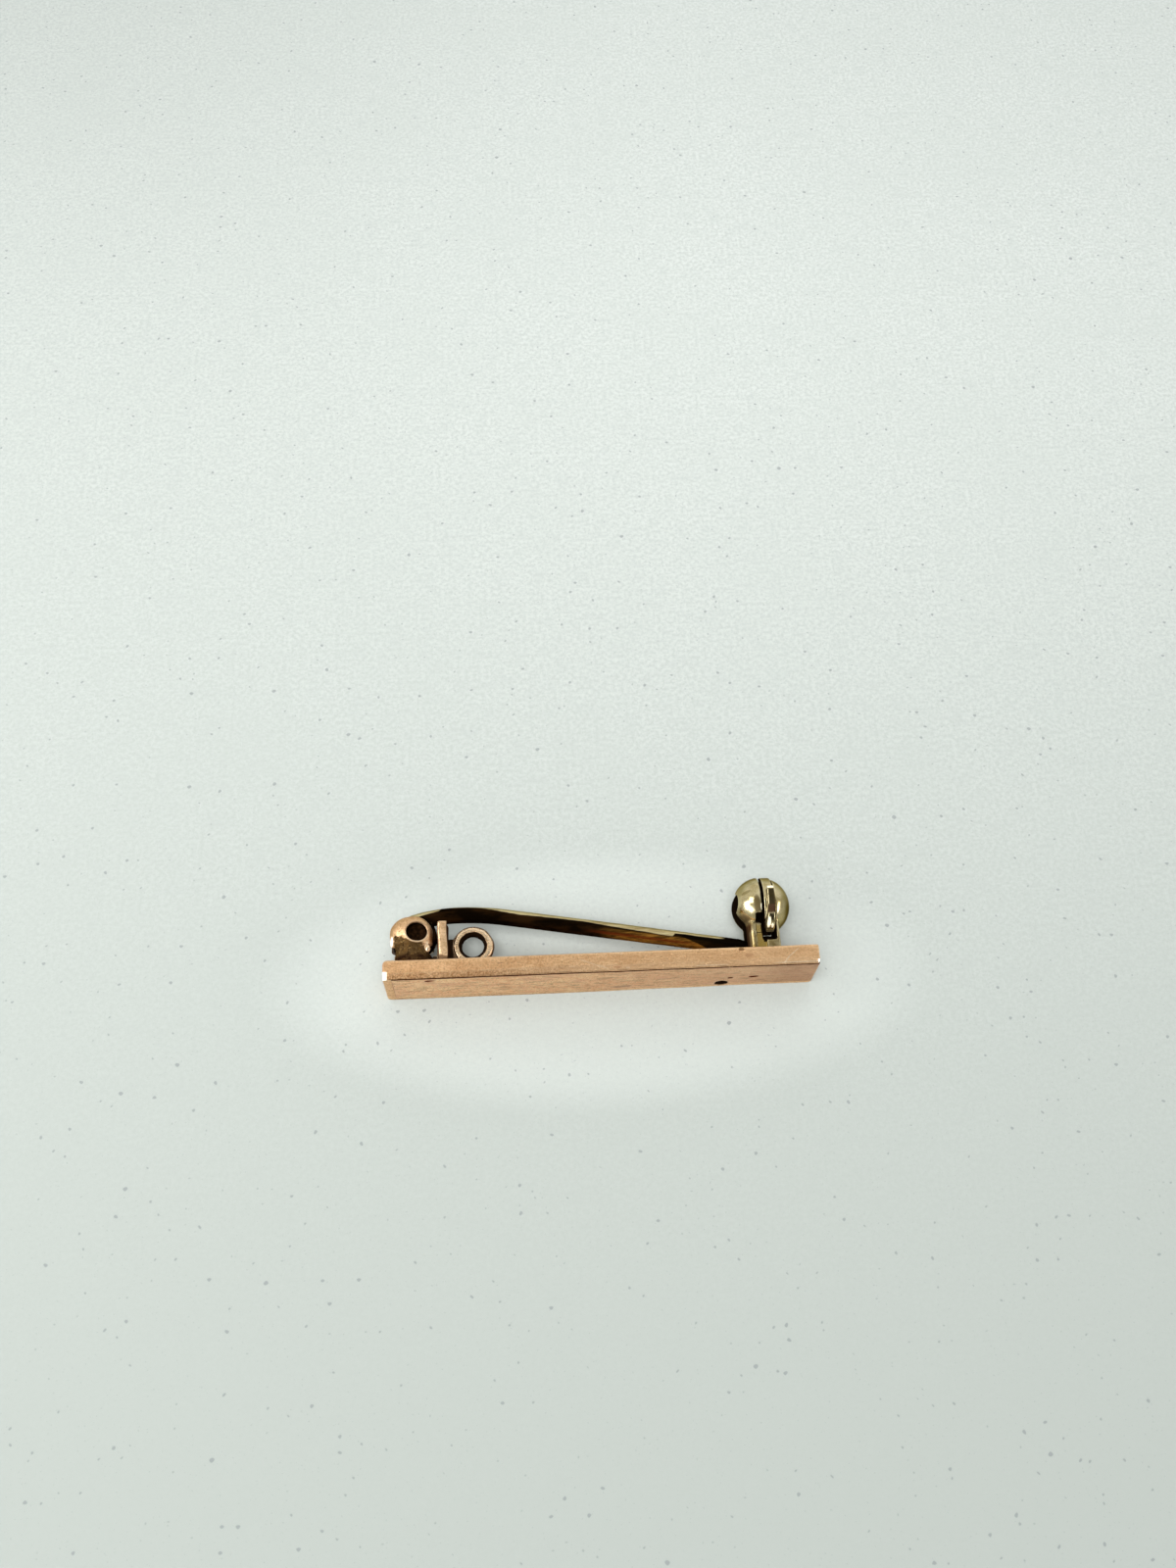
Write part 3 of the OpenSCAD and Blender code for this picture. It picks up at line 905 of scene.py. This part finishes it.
def face_stains(r, place, x, y, z):
    """Marks on the front plate: dirt in the nicks, a grey smudge, and a darker right half."""
    front = y.fall(-0.6, -0.5)
    streak = r.noise(r.stretch(place, 0.22), 5, 3, 0.65)
    patch = r.noise(r.stretch(place, 0.5), 0.8, 3, 0.6)
    deep = r.mark("depth").rise(0.02, 0.09) * x.rise(bar_x0 + 0.56, bar_x0 + 0.62)
    smear = oval(x, z, (SMEAR_X, plate_top), (0.14, 0.2))
    border = front * z.rise(plate_top - 0.15, plate_top - 0.08) * (1 - smear)
    nicks = [front * (oval(x, z, at, (1.12 * size[0], 1.12 * size[2]), 0.12) * 1.5).least(1)
             for at, size in FACE_NICKS]
    return [
        (x.rise(-9, 13) * 0.35, (196, 152, 122), 0.03, 0),
        (x.rise(9.5, 13.5) * 0.45, (168, 118, 86), 0.03, 0),
        (streak.rise(0.5, 0.66) * 0.5, (158, 112, 78), 0.05, 0),
        (patch.rise(0.5, 0.7) * 0.4, (220, 156, 126), 0.0, 0),
        (front * oval(x, z, (1.5, 0.85), (0.75, 0.26), 0.15) * 0.55, (132, 104, 86), 0.1, 0.3),
        (deep, (60, 26, 14), 0.2, 0.9),
        (nicks[0], BLACK, 0.3, 1.0),
        *[(shallow, (66, 26, 12), 0.3, 1.0) for shallow in nicks[1:]],
        (border, (50, 20, 8), 0.2, 1.0),
    ]


def joint_marks_and_light(r, place, x, y, z):
    """Dark tarnish on the lower half of the ball joint, its edges ragged, that also stands in for the dark
    reflection there; painted shade in its holes, under it and at its foot; painted highlights on its left
    edge and round the rivet hole.
    """
    ragged = r.noise(place, 1.9, 3, 0.65)
    fleck = r.noise(place, 6, 3, 0.7)
    patch = r.noise(place, 2.6, 4, 0.7, 0.6)
    out = distance(x, y, rivet_at)
    # tarnish on the lower half, also standing in for the dark reflection there
    low = (y + (ragged - 0.5) * 1.3 + (x - joint_at[0]) * 0.34).fall(2.35, 2.65)
    low = low * out.rise(0.8, 0.9) * (x + (fleck - 0.5) * 0.5).rise(-14.42, -14.28)
    curl = oval(x, y, (joint_at[0] + 1.2, 1.95), (0.26, 0.42))
    low = low * (1 - curl)
    # painted highlight on the left edge
    glint = oval(x, y, (-14.5, 2.42), (0.12, 0.4))
    # painted highlight round the lower rim of the rivet hole
    lip = out.band(0.74, 0.82, 0.03) * y.fall(2.7, 3.0)
    # painted shade at the joint's foot
    foot = y.fall(1.2, 1.55)
    return [
        (low * 0.95, OLIVE_BROWN, 0.04, 0.4),
        (low * patch.rise(0.54, 0.62) * 0.5, (84, 58, 20), 0.0, 0),
        (low * patch.fall(0.36, 0.45) * 0.85, (22, 12, 4), 0.1, 0.6),
        (low * fleck.rise(0.58, 0.66) * 0.4, (170, 136, 80), 0.0, 0),
        (glint * 0.85, (255, 246, 236), 0, 0.9),
        # painted shade on the joint's underside
        (z.fall(1.55, 1.8) * y.fall(2.6, 2.9) * 0.95, (26, 14, 6), 0.2, 1.0),
        (curl * 0.6, PALE, -0.1, 0),
        (lip * 0.5, PALE, -0.1, 0),
        (foot * (0.7 + ragged.rise(0.5, 0.6) * 0.3), (30, 16, 8), 0.15, 0.9),
        # insides painted black as shade
        (r.mark("depth").rise(0.04, 0.2), BLACK, 0.3, 1.0),
    ]


def stop_painted_light(r, place, x, y, z):
    """Painted shade on both sides of the stop plate and black shade on its edge by the joint, darker at its
    foot, and a painted highlight along its top.
    """
    nx, ny, _ = r.facing()
    ragged = r.noise(place, 3, 3, 0.6)
    return [
        # painted shade on the plate's two sides
        (nx.rise(0.3, 0.7), (50, 28, 14), 0.15, 0.8),
        (nx.fall(-0.9, -0.5) * 0.7, (70, 42, 22), 0.15, 0.5),
        ((y + (ragged - 0.5) * 0.5).fall(1.15, 1.4) * 0.9, DARK_BROWN, 0.2, 0.9),
        # black painted shade in the gap by the joint
        ((x + (ragged - 0.5) * 0.15).fall(stop_x - 0.42, stop_x - 0.34) * 0.97, BLACK, 0.2, 1.0),
        # painted highlight on the top edge
        (ny.rise(0.5, 0.9) * 0.5, PALE, -0.1, 0),
    ]


def ring_stains(r, place, x, y, z):
    """Dark inner slope and outer edge on the ring, and dark solder beside it."""
    ragged = (r.noise(place, 2.8, 3, 0.65) - 0.5) * 0.3
    out = distance(x, y, ring_at)
    solder = (x + ragged).fall(ring_at[0] - 1.42, ring_at[0] - 1.3)
    return [
        ((out + ragged).band(1.1, 1.34, 0.08) * 0.35, PALE, -0.06, 0),
        (ragged.rise(0.015, 0.06) * 0.4, (178, 126, 74), 0.04, 0),
        ((out + ragged * 0.4).fall(0.98, 1.05), (18, 9, 4), 0.1, 1.0),
        ((out + ragged * 0.2).rise(1.37, 1.42) * 0.92, (40, 20, 10), 0.1, 0.9),
        (solder.most((y + ragged).fall(0.95, 1.15)) * 0.96, (22, 12, 6), 0.25, 1.0),
    ]


def rose_gold(name, light, dark, marks_and_light, satin=0.42, clean_to=None, rim=ROSE_EDGE):
    """Worn rose gold: brushed lengthwise, mottled, with dirt and painted shade in its corners and bright
    edges.
    """
    r, place = new_recipe(name)
    x, y, z = r.parts(place)
    cloud = r.noise(r.stretch(place, 0.35), 1.1, 4, 0.6)
    fleck = r.noise(place, 6, 4, 0.7)
    brush = r.noise(r.stretch(place, 0.12), 14, 2, 0.6)
    pits = r.noise(place, 9, 2, 0.5).rise(0.60, 0.68)
    grime_and_shade = r.mark("grime_and_shade").rise(0.3, 0.85)
    if clean_to is not None:
        grime_and_shade = grime_and_shade * x.rise(clean_to - 0.05, clean_to + 0.05)
    edge = r.mark("bend").rise(0.25, 0.8)
    tone = cloud.rise(0.38, 0.62) * 0.35 + fleck.rise(0.42, 0.58) * 0.45 + brush.rise(0.38, 0.62) * 0.2
    colour = r.mix(tone, dark, light)
    colour = r.mix(pits * 0.5, colour, (120, 76, 44))
    colour = r.mix(edge * 0.2, colour, (250, 216, 180))
    rough = satin + (cloud - 0.5) * 0.15 + pits * 0.12 - edge * 0.1 + grime_and_shade * 0.2
    colour, rough, metal = r.lay_marks_and_light(marks_and_light(r, place, x, y, z), colour, rough, 1 - grime_and_shade * 0.9)
    # dirt and painted shade in corners and between pieces
    colour = r.mix(grime_and_shade * 0.85, colour, (40, 20, 10))
    normal = r.bump(brush * 0.4 + fleck * 0.5 - pits * 0.35, 0.034)
    return r.finish(colour, rough.most(0.12).least(0.9), normal, metal, rim)


def shell_tarnish_and_light(r, place, x, y, z):
    """Tarnish and painted shade on the ball catch: insides painted black, dark patches low on the cups that
    stand in for the shadowed floor they reflect, a dark band for a dark reflection, a foot with painted
    shade on its left wall and a painted highlight line, and a painted glint on the left cup.
    """
    nx, _, nz = r.facing()
    ragged = r.noise(place, 1.6, 3, 0.6)
    smoke = r.noise(place, 0.9, 2, 0.5)
    depth = r.mark("depth")
    foot = y.fall(1.9, 2.2)
    round_part = 1 - foot
    low = (z + (ragged - 0.5) * 0.9).fall(2.3, 3.1) * round_part
    left_low = oval(x, y, (10.0, 2.75), (1.0, 0.75), -0.7) * z.rise(1.5, 2.2)
    band = oval(x, y, (11.08, 3.9), (0.24, 0.75)) * z.rise(3.2, 3.6)
    smudge = oval(x, y, (10.42, 4.84), (0.36, 0.13), 0.35) * z.rise(2.5, 3.0)
    right_low = x.rise(12.7, 13.4) * y.fall(3.7, 5.4) * round_part
    neck = y.fall(2.5, 2.9)
    inner = y.rise(2.75, 2.95)
    lip = x.fall(9.76, 9.88) * y.band(3.7, 5.15, 0.1)
    strip = neck * z.rise(2.7, 2.85)
    glint = oval(x, y, (11.38, 3.68), (0.07, 0.26)) * z.rise(3.4, 3.6)
    web = z.band(1.3, 1.52, 0.02) * nz.rise(0.5, 0.7) * x.fall(12.4, 12.5)
    slot_end = x.rise(11.42, 11.48) * y.rise(1.37, 1.41) * depth.rise(0.06, 0.16)
    return [
        (smoke.rise(0.45, 0.7) * 0.3, (160, 144, 102), 0.04, 0),
        # darker low on the cups: tarnish that also stands in for the shadowed floor they reflect
        (low * 0.55, (96, 82, 48), 0.06, 0),
        # painted shade on the lower left of the ball
        (left_low * 0.85, (50, 34, 14), 0.1, 0.5),
        # a dark band standing in for a dark reflection beside the slot
        (band * 0.8, (66, 52, 22), 0.06, 0.5),
        (smudge * 0.6, (96, 82, 38), 0.04, 0.3),
        # darker right side, standing in for the shadowed floor it reflects
        (right_low * 0.9, (84, 74, 42), 0.06, 0.2),
        # painted shade on the foot's left wall, then a painted highlight line on its rounded corner
        (strip * x.fall(10.58, 10.64) * 0.9, (48, 28, 12), 0.1, 0.6),
        (strip * x.band(10.34, 10.43, 0.02) * 0.8, (146, 126, 82), 0.0, 0),
        (strip * x.band(10.66, 10.95, 0.02) * ragged.rise(0.45, 0.6) * 0.7, (118, 98, 50), 0.05, 0.1),
        # painted shade on the neck's wall facing left
        (neck * nx.fall(-0.88, -0.78) * 0.97, (34, 18, 10), 0.1, 0.9),
        (foot * nx.rise(0.75, 0.95) * 0.8, (96, 60, 34), 0.1, 0.5),
        (foot * nz.rise(0.8, 0.95) * (0.6 + ragged.rise(0.4, 0.65) * 0.3), (100, 80, 36), 0.05, 0.1),
        (y.fall(2.75, 2.95) * depth.band(0.2, 0.45, 0.06) * 0.75, (156, 128, 58), 0.04, 0.1),
        # inside of the cups painted nearly black as shade
        (inner * depth.rise(0.03, 0.1), (14, 7, 3), 0.2, 1.0),
        # painted glint on the left cup's edge
        (glint * 0.9, (255, 248, 220), 0.0, 0.8),
        # deep insides, the mouth's lip, the floor of the pin's way and the slot's end painted black as
        # shade
        (depth.rise(0.42, 0.55), BLACK, 0.3, 1.0),
        (lip.most(web).most(slot_end), BLACK, 0.3, 1.0),
    ]


def turner_tarnish_and_light(r, place, x, y, z):
    """Tarnish and painted light on the turner: black painted shade in the slot and on its deep faces, a
    dark panel on its tab that stands in for a dark reflection, a brown stretch, dark sides, and painted
    glints.
    """
    nx = r.facing()[0]
    depth = r.mark("depth")
    turn = r.math("ARCTAN2", y - rotor_at[1], z - rotor_at[2]) * (180 / math.pi)
    tab = distance(y, z, rotor_at[1:]).rise(2.1, 2.2)
    middle = x.rise(rotor_at[0] - 0.1, rotor_at[0] - 0.04)
    smoke = r.noise(place, 2.6, 3, 0.6)
    flare = tab * turn.fall(-34, -31)
    way = turn * 0.04
    return [
        # dark panel standing in for the dark reflection on the tab's flat face
        (tab * turn.band(-18, 9.5, 0.8) * middle * 0.95, (40, 32, 12), 0.0, 0.4),
        (tab * turn.band(-31, -17, 1.5) * 0.95, (46, 20, 8), 0.1, 0.6),
        (flare * smoke.rise(0.5, 0.6) * 0.6, (96, 78, 34), 0.05, 0.1),
        # painted glints on the tab's top and on its flared end
        (tab * turn.band(10.5, 14.5, 0.8) * 0.85, GLINT, 0.0, 0.6),
        (flare * oval(x, way, (11.8, -1.82), (0.14, 0.42), -0.15) * 0.9, GLINT, 0.0, 0.7),
        (flare * oval(x, way, (12.04, -2.04), (0.1, 0.2)) * 0.8, GLINT, 0.0, 0.7),
        (flare * turn.fall(-62, -58) * 0.7, (60, 40, 16), 0.1, 0.5),
        (tab * abs(nx).rise(0.6, 0.9) * 0.7, (40, 26, 12), 0.1, 0.6),
        # the disc's side in the slot and the deep faces painted black as shade
        ((1 - tab) * nx.fall(-0.8, -0.6), BLACK, 0.3, 1.0),
        (depth.rise(0.06, 0.2) * 0.95, (28, 16, 6), 0.2, 1.0),
        (depth.rise(0.3, 0.5), BLACK, 0.3, 1.0),
    ]


def green_gold(name, marks_and_light):
    """Polished greenish gold with a thin yellow-brown tarnish, and dirt and painted shade in its corners.
    """
    r, place = new_recipe(name)
    cloud = r.noise(place, 1.3, 3, 0.55)
    fleck = r.noise(place, 9, 2, 0.5)
    grime_and_shade = r.mark("grime_and_shade").rise(0.35, 0.9)
    edge = r.mark("bend").rise(0.3, 0.9)
    colour = r.mix(cloud.rise(0.35, 0.65), (186, 168, 120), (212, 196, 154))
    colour = r.mix(fleck.rise(0.5, 0.7) * 0.3, colour, (150, 130, 80))
    colour = r.mix(edge * 0.35, colour, (244, 230, 188))
    rough = 0.12 + cloud.rise(0.4, 0.8) * 0.08 + grime_and_shade * 0.35 + fleck * 0.04
    colour, rough, metal = r.lay_marks_and_light(marks_and_light(r, place, *r.parts(place)), colour, rough, 1 - grime_and_shade * 0.9)
    # dirt and painted shade in corners and between pieces
    colour = r.mix(grime_and_shade * 0.8, colour, (34, 22, 8))
    normal = r.bump(cloud * 0.7 + fleck * 0.3, 0.005)
    return r.finish(colour, rough.most(0.1).least(0.9), normal, metal, GREEN_EDGE)


# where the black patina, which also stands in for dark reflection, gives way to uncovered, lit gold: place
# along the wire in mm, height on the wire from 0 to 1
PATINA_AND_SHADE_EDGE = [
    (-14.4, 0.78), (-12.2, 0.82), (-11.3, 0.88), (-11.1, 1.0), (-8.4, 0.97), (-7.0, 0.86), (-5.6, 0.79),
    (-3.5, 0.85), (-0.8, 0.86), (1.9, 0.74), (3.3, 0.71), (4.7, 0.64), (5.15, 0.64), (5.25, 0.83),
    (6.0, 0.86), (7.4, 0.85), (11.2, 0.9),
]


def dark_wire(name):
    """Polished pale gold wire, blackened but for an uncovered strip along its upper edge; the black also
    stands in for the dark reflection on its near side, the strip for the light it catches along the top,
    and a red band low on it for the bar's reflection.
    """
    r, place = new_recipe(name)
    x, y, z = r.parts(place)
    _, ny, nz = r.facing()
    start, end = PATINA_AND_SHADE_EDGE[0][0], PATINA_AND_SHADE_EDGE[-1][0]
    height = (ny * 0.935 + nz * 0.35) * 0.5 + 0.5
    edge = r.profile((x - start) / (end - start),
                     [((at - start) / (end - start), value) for at, value in PATINA_AND_SHADE_EDGE])
    cloud = r.noise(r.stretch(place, 0.3), 1.6, 3, 0.55)
    streak = r.noise(r.stretch(place, 0.08), 9, 2, 0.6)
    # uncovered gold strip, rubbed and also standing in for the light caught along the top
    bare_and_lit = (height + (streak - 0.5) * 0.05 - edge).rise(-0.025, 0.025) * (x - height * 0.8).fall(7.6, 8.1)
    thin = x.band(0.8, 8.0, 1.2) * height.fall(0.5, 0.7)
    filed = (x + (height - 0.85) * 3.4).rise(5.05, 5.35)
    # red band, a painted reflection of the bar
    red = x.band(-0.2, 6, 1.2) * (height + (streak - 0.5) * 0.12).band(0.26, 0.42, 0.06)
    grime_and_shade = r.mark("grime_and_shade").rise(0.3, 0.9)
    # black patina, also standing in for the dark reflection on the near side
    patina_and_shade = r.mix(cloud.rise(0.4, 0.7), (9, 5, 2), (32, 18, 6))
    patina_and_shade = r.mix(thin * (0.3 + streak.rise(0.38, 0.6) * 0.7), patina_and_shade, (122, 84, 32))
    patina_and_shade = r.mix(red * 0.8, patina_and_shade, (74, 26, 8))
    patina_and_shade = r.mix(filed * 0.95, patina_and_shade, (8, 5, 3))
    gold = r.mix(cloud.rise(0.35, 0.65) * 0.6 + streak.rise(0.4, 0.6) * 0.4, (164, 142, 96),
                 (214, 196, 148))
    colour = r.mix(bare_and_lit, patina_and_shade, gold)
    # dirt and painted shade in its hollows
    colour = r.mix(grime_and_shade * 0.8, colour, (30, 20, 8))
    rough = 0.18 + cloud.rise(0.4, 0.8) * 0.1 + (1 - bare_and_lit) * 0.08
    normal = r.bump(cloud * 0.7 + streak * 0.3, 0.008)
    return r.finish(colour, rough, normal, 0.5 + bare_and_lit * 0.5, GREEN_EDGE)


def black_rivet(name):
    """Dark pitted rivet metal, nearly black in its recess."""
    r, place = new_recipe(name)
    cloud = r.noise(place, 5, 3, 0.6)
    colour = r.mix(cloud.rise(0.3, 0.75), (12, 6, 3), (40, 24, 12))
    return r.finish(colour, 0.5 + cloud * 0.2, r.bump(cloud, 0.03), 0.6)


def pale_floor(name):
    """Pale, slightly cool surface with a fine grain and a few dark specks, painted darker towards the front
    and the left, with a painted pool of light round the brooch.
    """
    r, place = new_recipe(name)
    grain = r.noise(place, 3.2, 4, 0.75)
    cloud = r.noise(place, 0.09, 3, 0.5)
    blotch = r.noise(place, 0.7, 3, 0.6)
    specks = r.noise(place, 2.2, 0, 0.5).rise(0.78, 0.84)
    dots = r.noise(place, 6, 1, 0.5).rise(0.68, 0.76)
    colour = r.mix(grain.rise(0.35, 0.65), (157, 162, 157), (177, 181, 177))
    colour = r.mix(blotch.rise(0.45, 0.75) * 0.5, colour, (159, 164, 160))
    colour = r.mix(cloud.rise(0.3, 0.8) * 0.35, colour, (163, 168, 163))
    x, y, _ = r.parts(place)
    # painted light falloff: darker towards the front and the left
    colour = r.mix(y.fall(-45, 75), colour, (138, 143, 138))
    colour = r.mix(x.fall(-50, 20) * 0.3, colour, (134, 139, 134))
    # painted pool of light round the brooch, lifting the shade near it
    colour = r.mix(oval(x, y, (0, 0.5), (24, 10)) * 0.22, colour, (188, 192, 188))
    colour = r.mix((specks * 0.55).most(dots * 0.22), colour, (96, 100, 104))
    return r.finish(colour, 0.75, r.bump(grain, 0.02), shine=0.25)


# Camera, fitted to the photograph

CAMERA_UP = math.radians(63.239)
CAMERA_ROLL = math.radians(3.329)
CAMERA_YAW = math.radians(5.827)
CAMERA_AT = Vector((-4.884, -31.147, 93.394)) * MM
CAMERA_LENS = 31.5


def place_camera():
    level = math.cos(CAMERA_UP)
    look = Vector((math.sin(CAMERA_YAW) * level, math.cos(CAMERA_YAW) * level, -math.sin(CAMERA_UP)))
    right = Vector((math.cos(CAMERA_YAW), -math.sin(CAMERA_YAW), 0))
    up = right.cross(look)
    c, s = math.cos(CAMERA_ROLL), math.sin(CAMERA_ROLL)
    right, up = c * right + s * up, c * up - s * right
    camera = bpy.data.objects.new("camera", bpy.data.cameras.new("camera"))
    camera.data.lens = CAMERA_LENS
    camera.data.sensor_width = 36
    camera.data.clip_start = 0.002
    camera.data.clip_end = 20
    turn = Matrix((right, up, -look)).transposed()
    camera.matrix_world = Matrix.Translation(CAMERA_AT) @ turn.to_4x4()
    scene.collection.objects.link(camera)
    scene.camera = camera


def soft_light(name, way, away, width, height, power, mirrored=True):
    """A soft box that looks at the brooch from one direction, seen in its polish or not."""
    light = bpy.data.lights.new(name, "AREA")
    light.shape = "RECTANGLE"
    light.size = width * MM
    light.size_y = height * MM
    light.energy = power
    obj = bpy.data.objects.new(name, light)
    way = Vector(way).normalized()
    turn = way.to_track_quat("Z", "Y").to_matrix().to_4x4()
    obj.matrix_world = Matrix.Translation(way * away * MM) @ turn
    obj.visible_camera = False
    obj.visible_glossy = mirrored
    scene.collection.objects.link(obj)


def studio():
    """Pale surroundings with one dark stretch overhead, where the photographer leans in, and soft boxes."""
    world = bpy.data.worlds.new("studio")
    scene.world = world
    r = Recipe(world)
    x, y, z = r.parts(r.node("ShaderNodeTexCoord").outputs["Generated"])
    dark = abs(x - 0.05).fall(0.34, 0.5) * (y + 0.35 * x).fall(0.16, 0.34) * z.rise(0.5, 0.62)
    bright = 0.62 + y.rise(0.0, 0.6) * 0.32 - 0.04 * x
    level = bright * (1 - dark * 0.93)
    back = r.node("ShaderNodeBackground", values={"Color": (0.95, 0.985, 1.0, 1.0), "Strength": level})
    r.node("ShaderNodeOutputWorld", values={"Surface": back.outputs[0]})
    soft_light("left_window", (-0.84, -0.03, 0.53), 170, 80, 62, 0.1)
    soft_light("left_window_back", (-0.58, 0.22, 0.78), 170, 62, 50, 0.05)
    soft_light("left_window_front", (-0.66, -0.38, 0.65), 170, 56, 50, 0.046)
    soft_light("right_window", (0.9, -0.15, 0.3), 200, 120, 30, 0.06)
    soft_light("front_fill", (-0.15, -0.85, 0.45), 300, 380, 240, 0.4, False)
    soft_light("back_window", (0.15, 0.8, 0.6), 250, 240, 160, 0.17, False)
    soft_light("front_window", (0.17, -0.95, 0.2), 250, 70, 50, 0.03)
    soft_light("ceiling", (-0.08, -0.26, 0.95), 400, 260, 220, 1.9, False)


def lay_floor():
    mesh = bpy.data.meshes.new("floor")
    reach = 1.5
    corners = [(-reach, -reach, 0), (reach, -reach, 0), (reach, reach, 0), (-reach, reach, 0)]
    mesh.from_pydata(corners, [], [(0, 1, 2, 3)])
    floor = bpy.data.objects.new("floor", mesh)
    mesh.materials.append(pale_floor("pale_floor"))
    scene.collection.objects.link(floor)


# Everything put together

def make_brooch():
    """Builds every piece, each of its own metal."""
    pad = 0.15
    bar_metal = {"clean_to": bar_x0 + 0.7, "rim": (1.0, 1.0, 1.0, 1.0)}
    piece("bar_tray", tray_form, bar_grid(), "back_tray",
          rose_gold("tray_gold", (255, 214, 164), (202, 146, 96), tray_marks_and_light, **bar_metal),
          [face_form, joint_form, stop_form, ring_form, catch_form], bar_envelope)
    piece("bar_face", face_form, bar_grid(), "front_plate",
          rose_gold("face_gold", (255, 220, 172), (234, 170, 120), face_stains, **bar_metal),
          [tray_form], bar_envelope)
    side_gap = joint_r + 2 * pad
    high = joint_r + pad
    piece("ball_joint", joint_form,
          cube_grid(joint_at - [side_gap, 2.6, high], joint_at + [side_gap, high, high]),
          "back_tray", rose_gold("joint_gold", (246, 206, 160), (204, 158, 112), joint_marks_and_light),
          [tray_form, stop_form], knuckle)
    piece("stop_plate", stop_form,
          cube_grid([stop_x - 1.1, back_y - 0.3, 0.6], [stop_x + 1.1, stop_top + pad, 3.6]),
          "back_tray", rose_gold("stop_gold", (250, 212, 168), (214, 170, 124), stop_painted_light, 0.34),
          [tray_form, joint_form, ring_form])
    high = ring_r + pad
    piece("chain_ring", ring_form,
          cube_grid(ring_at - [ring_r + 0.8, ring_r + 0.35, 0.6], ring_at + [high, high, 0.6]),
          "back_tray", rose_gold("ring_gold", (252, 220, 178), (222, 178, 132), ring_stains, 0.2),
          [tray_form, stop_form])
    piece("rivet", rivet_form, cube_grid(rivet_low - pad, rivet_high + pad), "hinge_rivet",
          black_rivet("rivet_metal"), [joint_form], knuckle)
    piece("pin_wire", pin_form, pin_grid(), "pin_stem", dark_wire("pin_gold"), body="pin")
    high = ball_r + pad
    piece("catch_ball", catch_form,
          cube_grid(ball_at - [high, ball_at[1] - back_y + 0.3, high], ball_at + high, FINE * 1.08),
          "catch_shell", green_gold("shell_gold", shell_tarnish_and_light), [tray_form], catch_whole)
    piece("catch_turner", rotor_form, cube_grid(rotor_at - [0.6, 2.9, 2.9], rotor_at + [1.3, 2.9, 2.9]),
          "catch_rotor", green_gold("turner_gold", turner_tarnish_and_light), whole=catch_whole, body="rotor")


scene.view_settings.view_transform = "Standard"
place_camera()
studio()
lay_floor()
make_brooch()
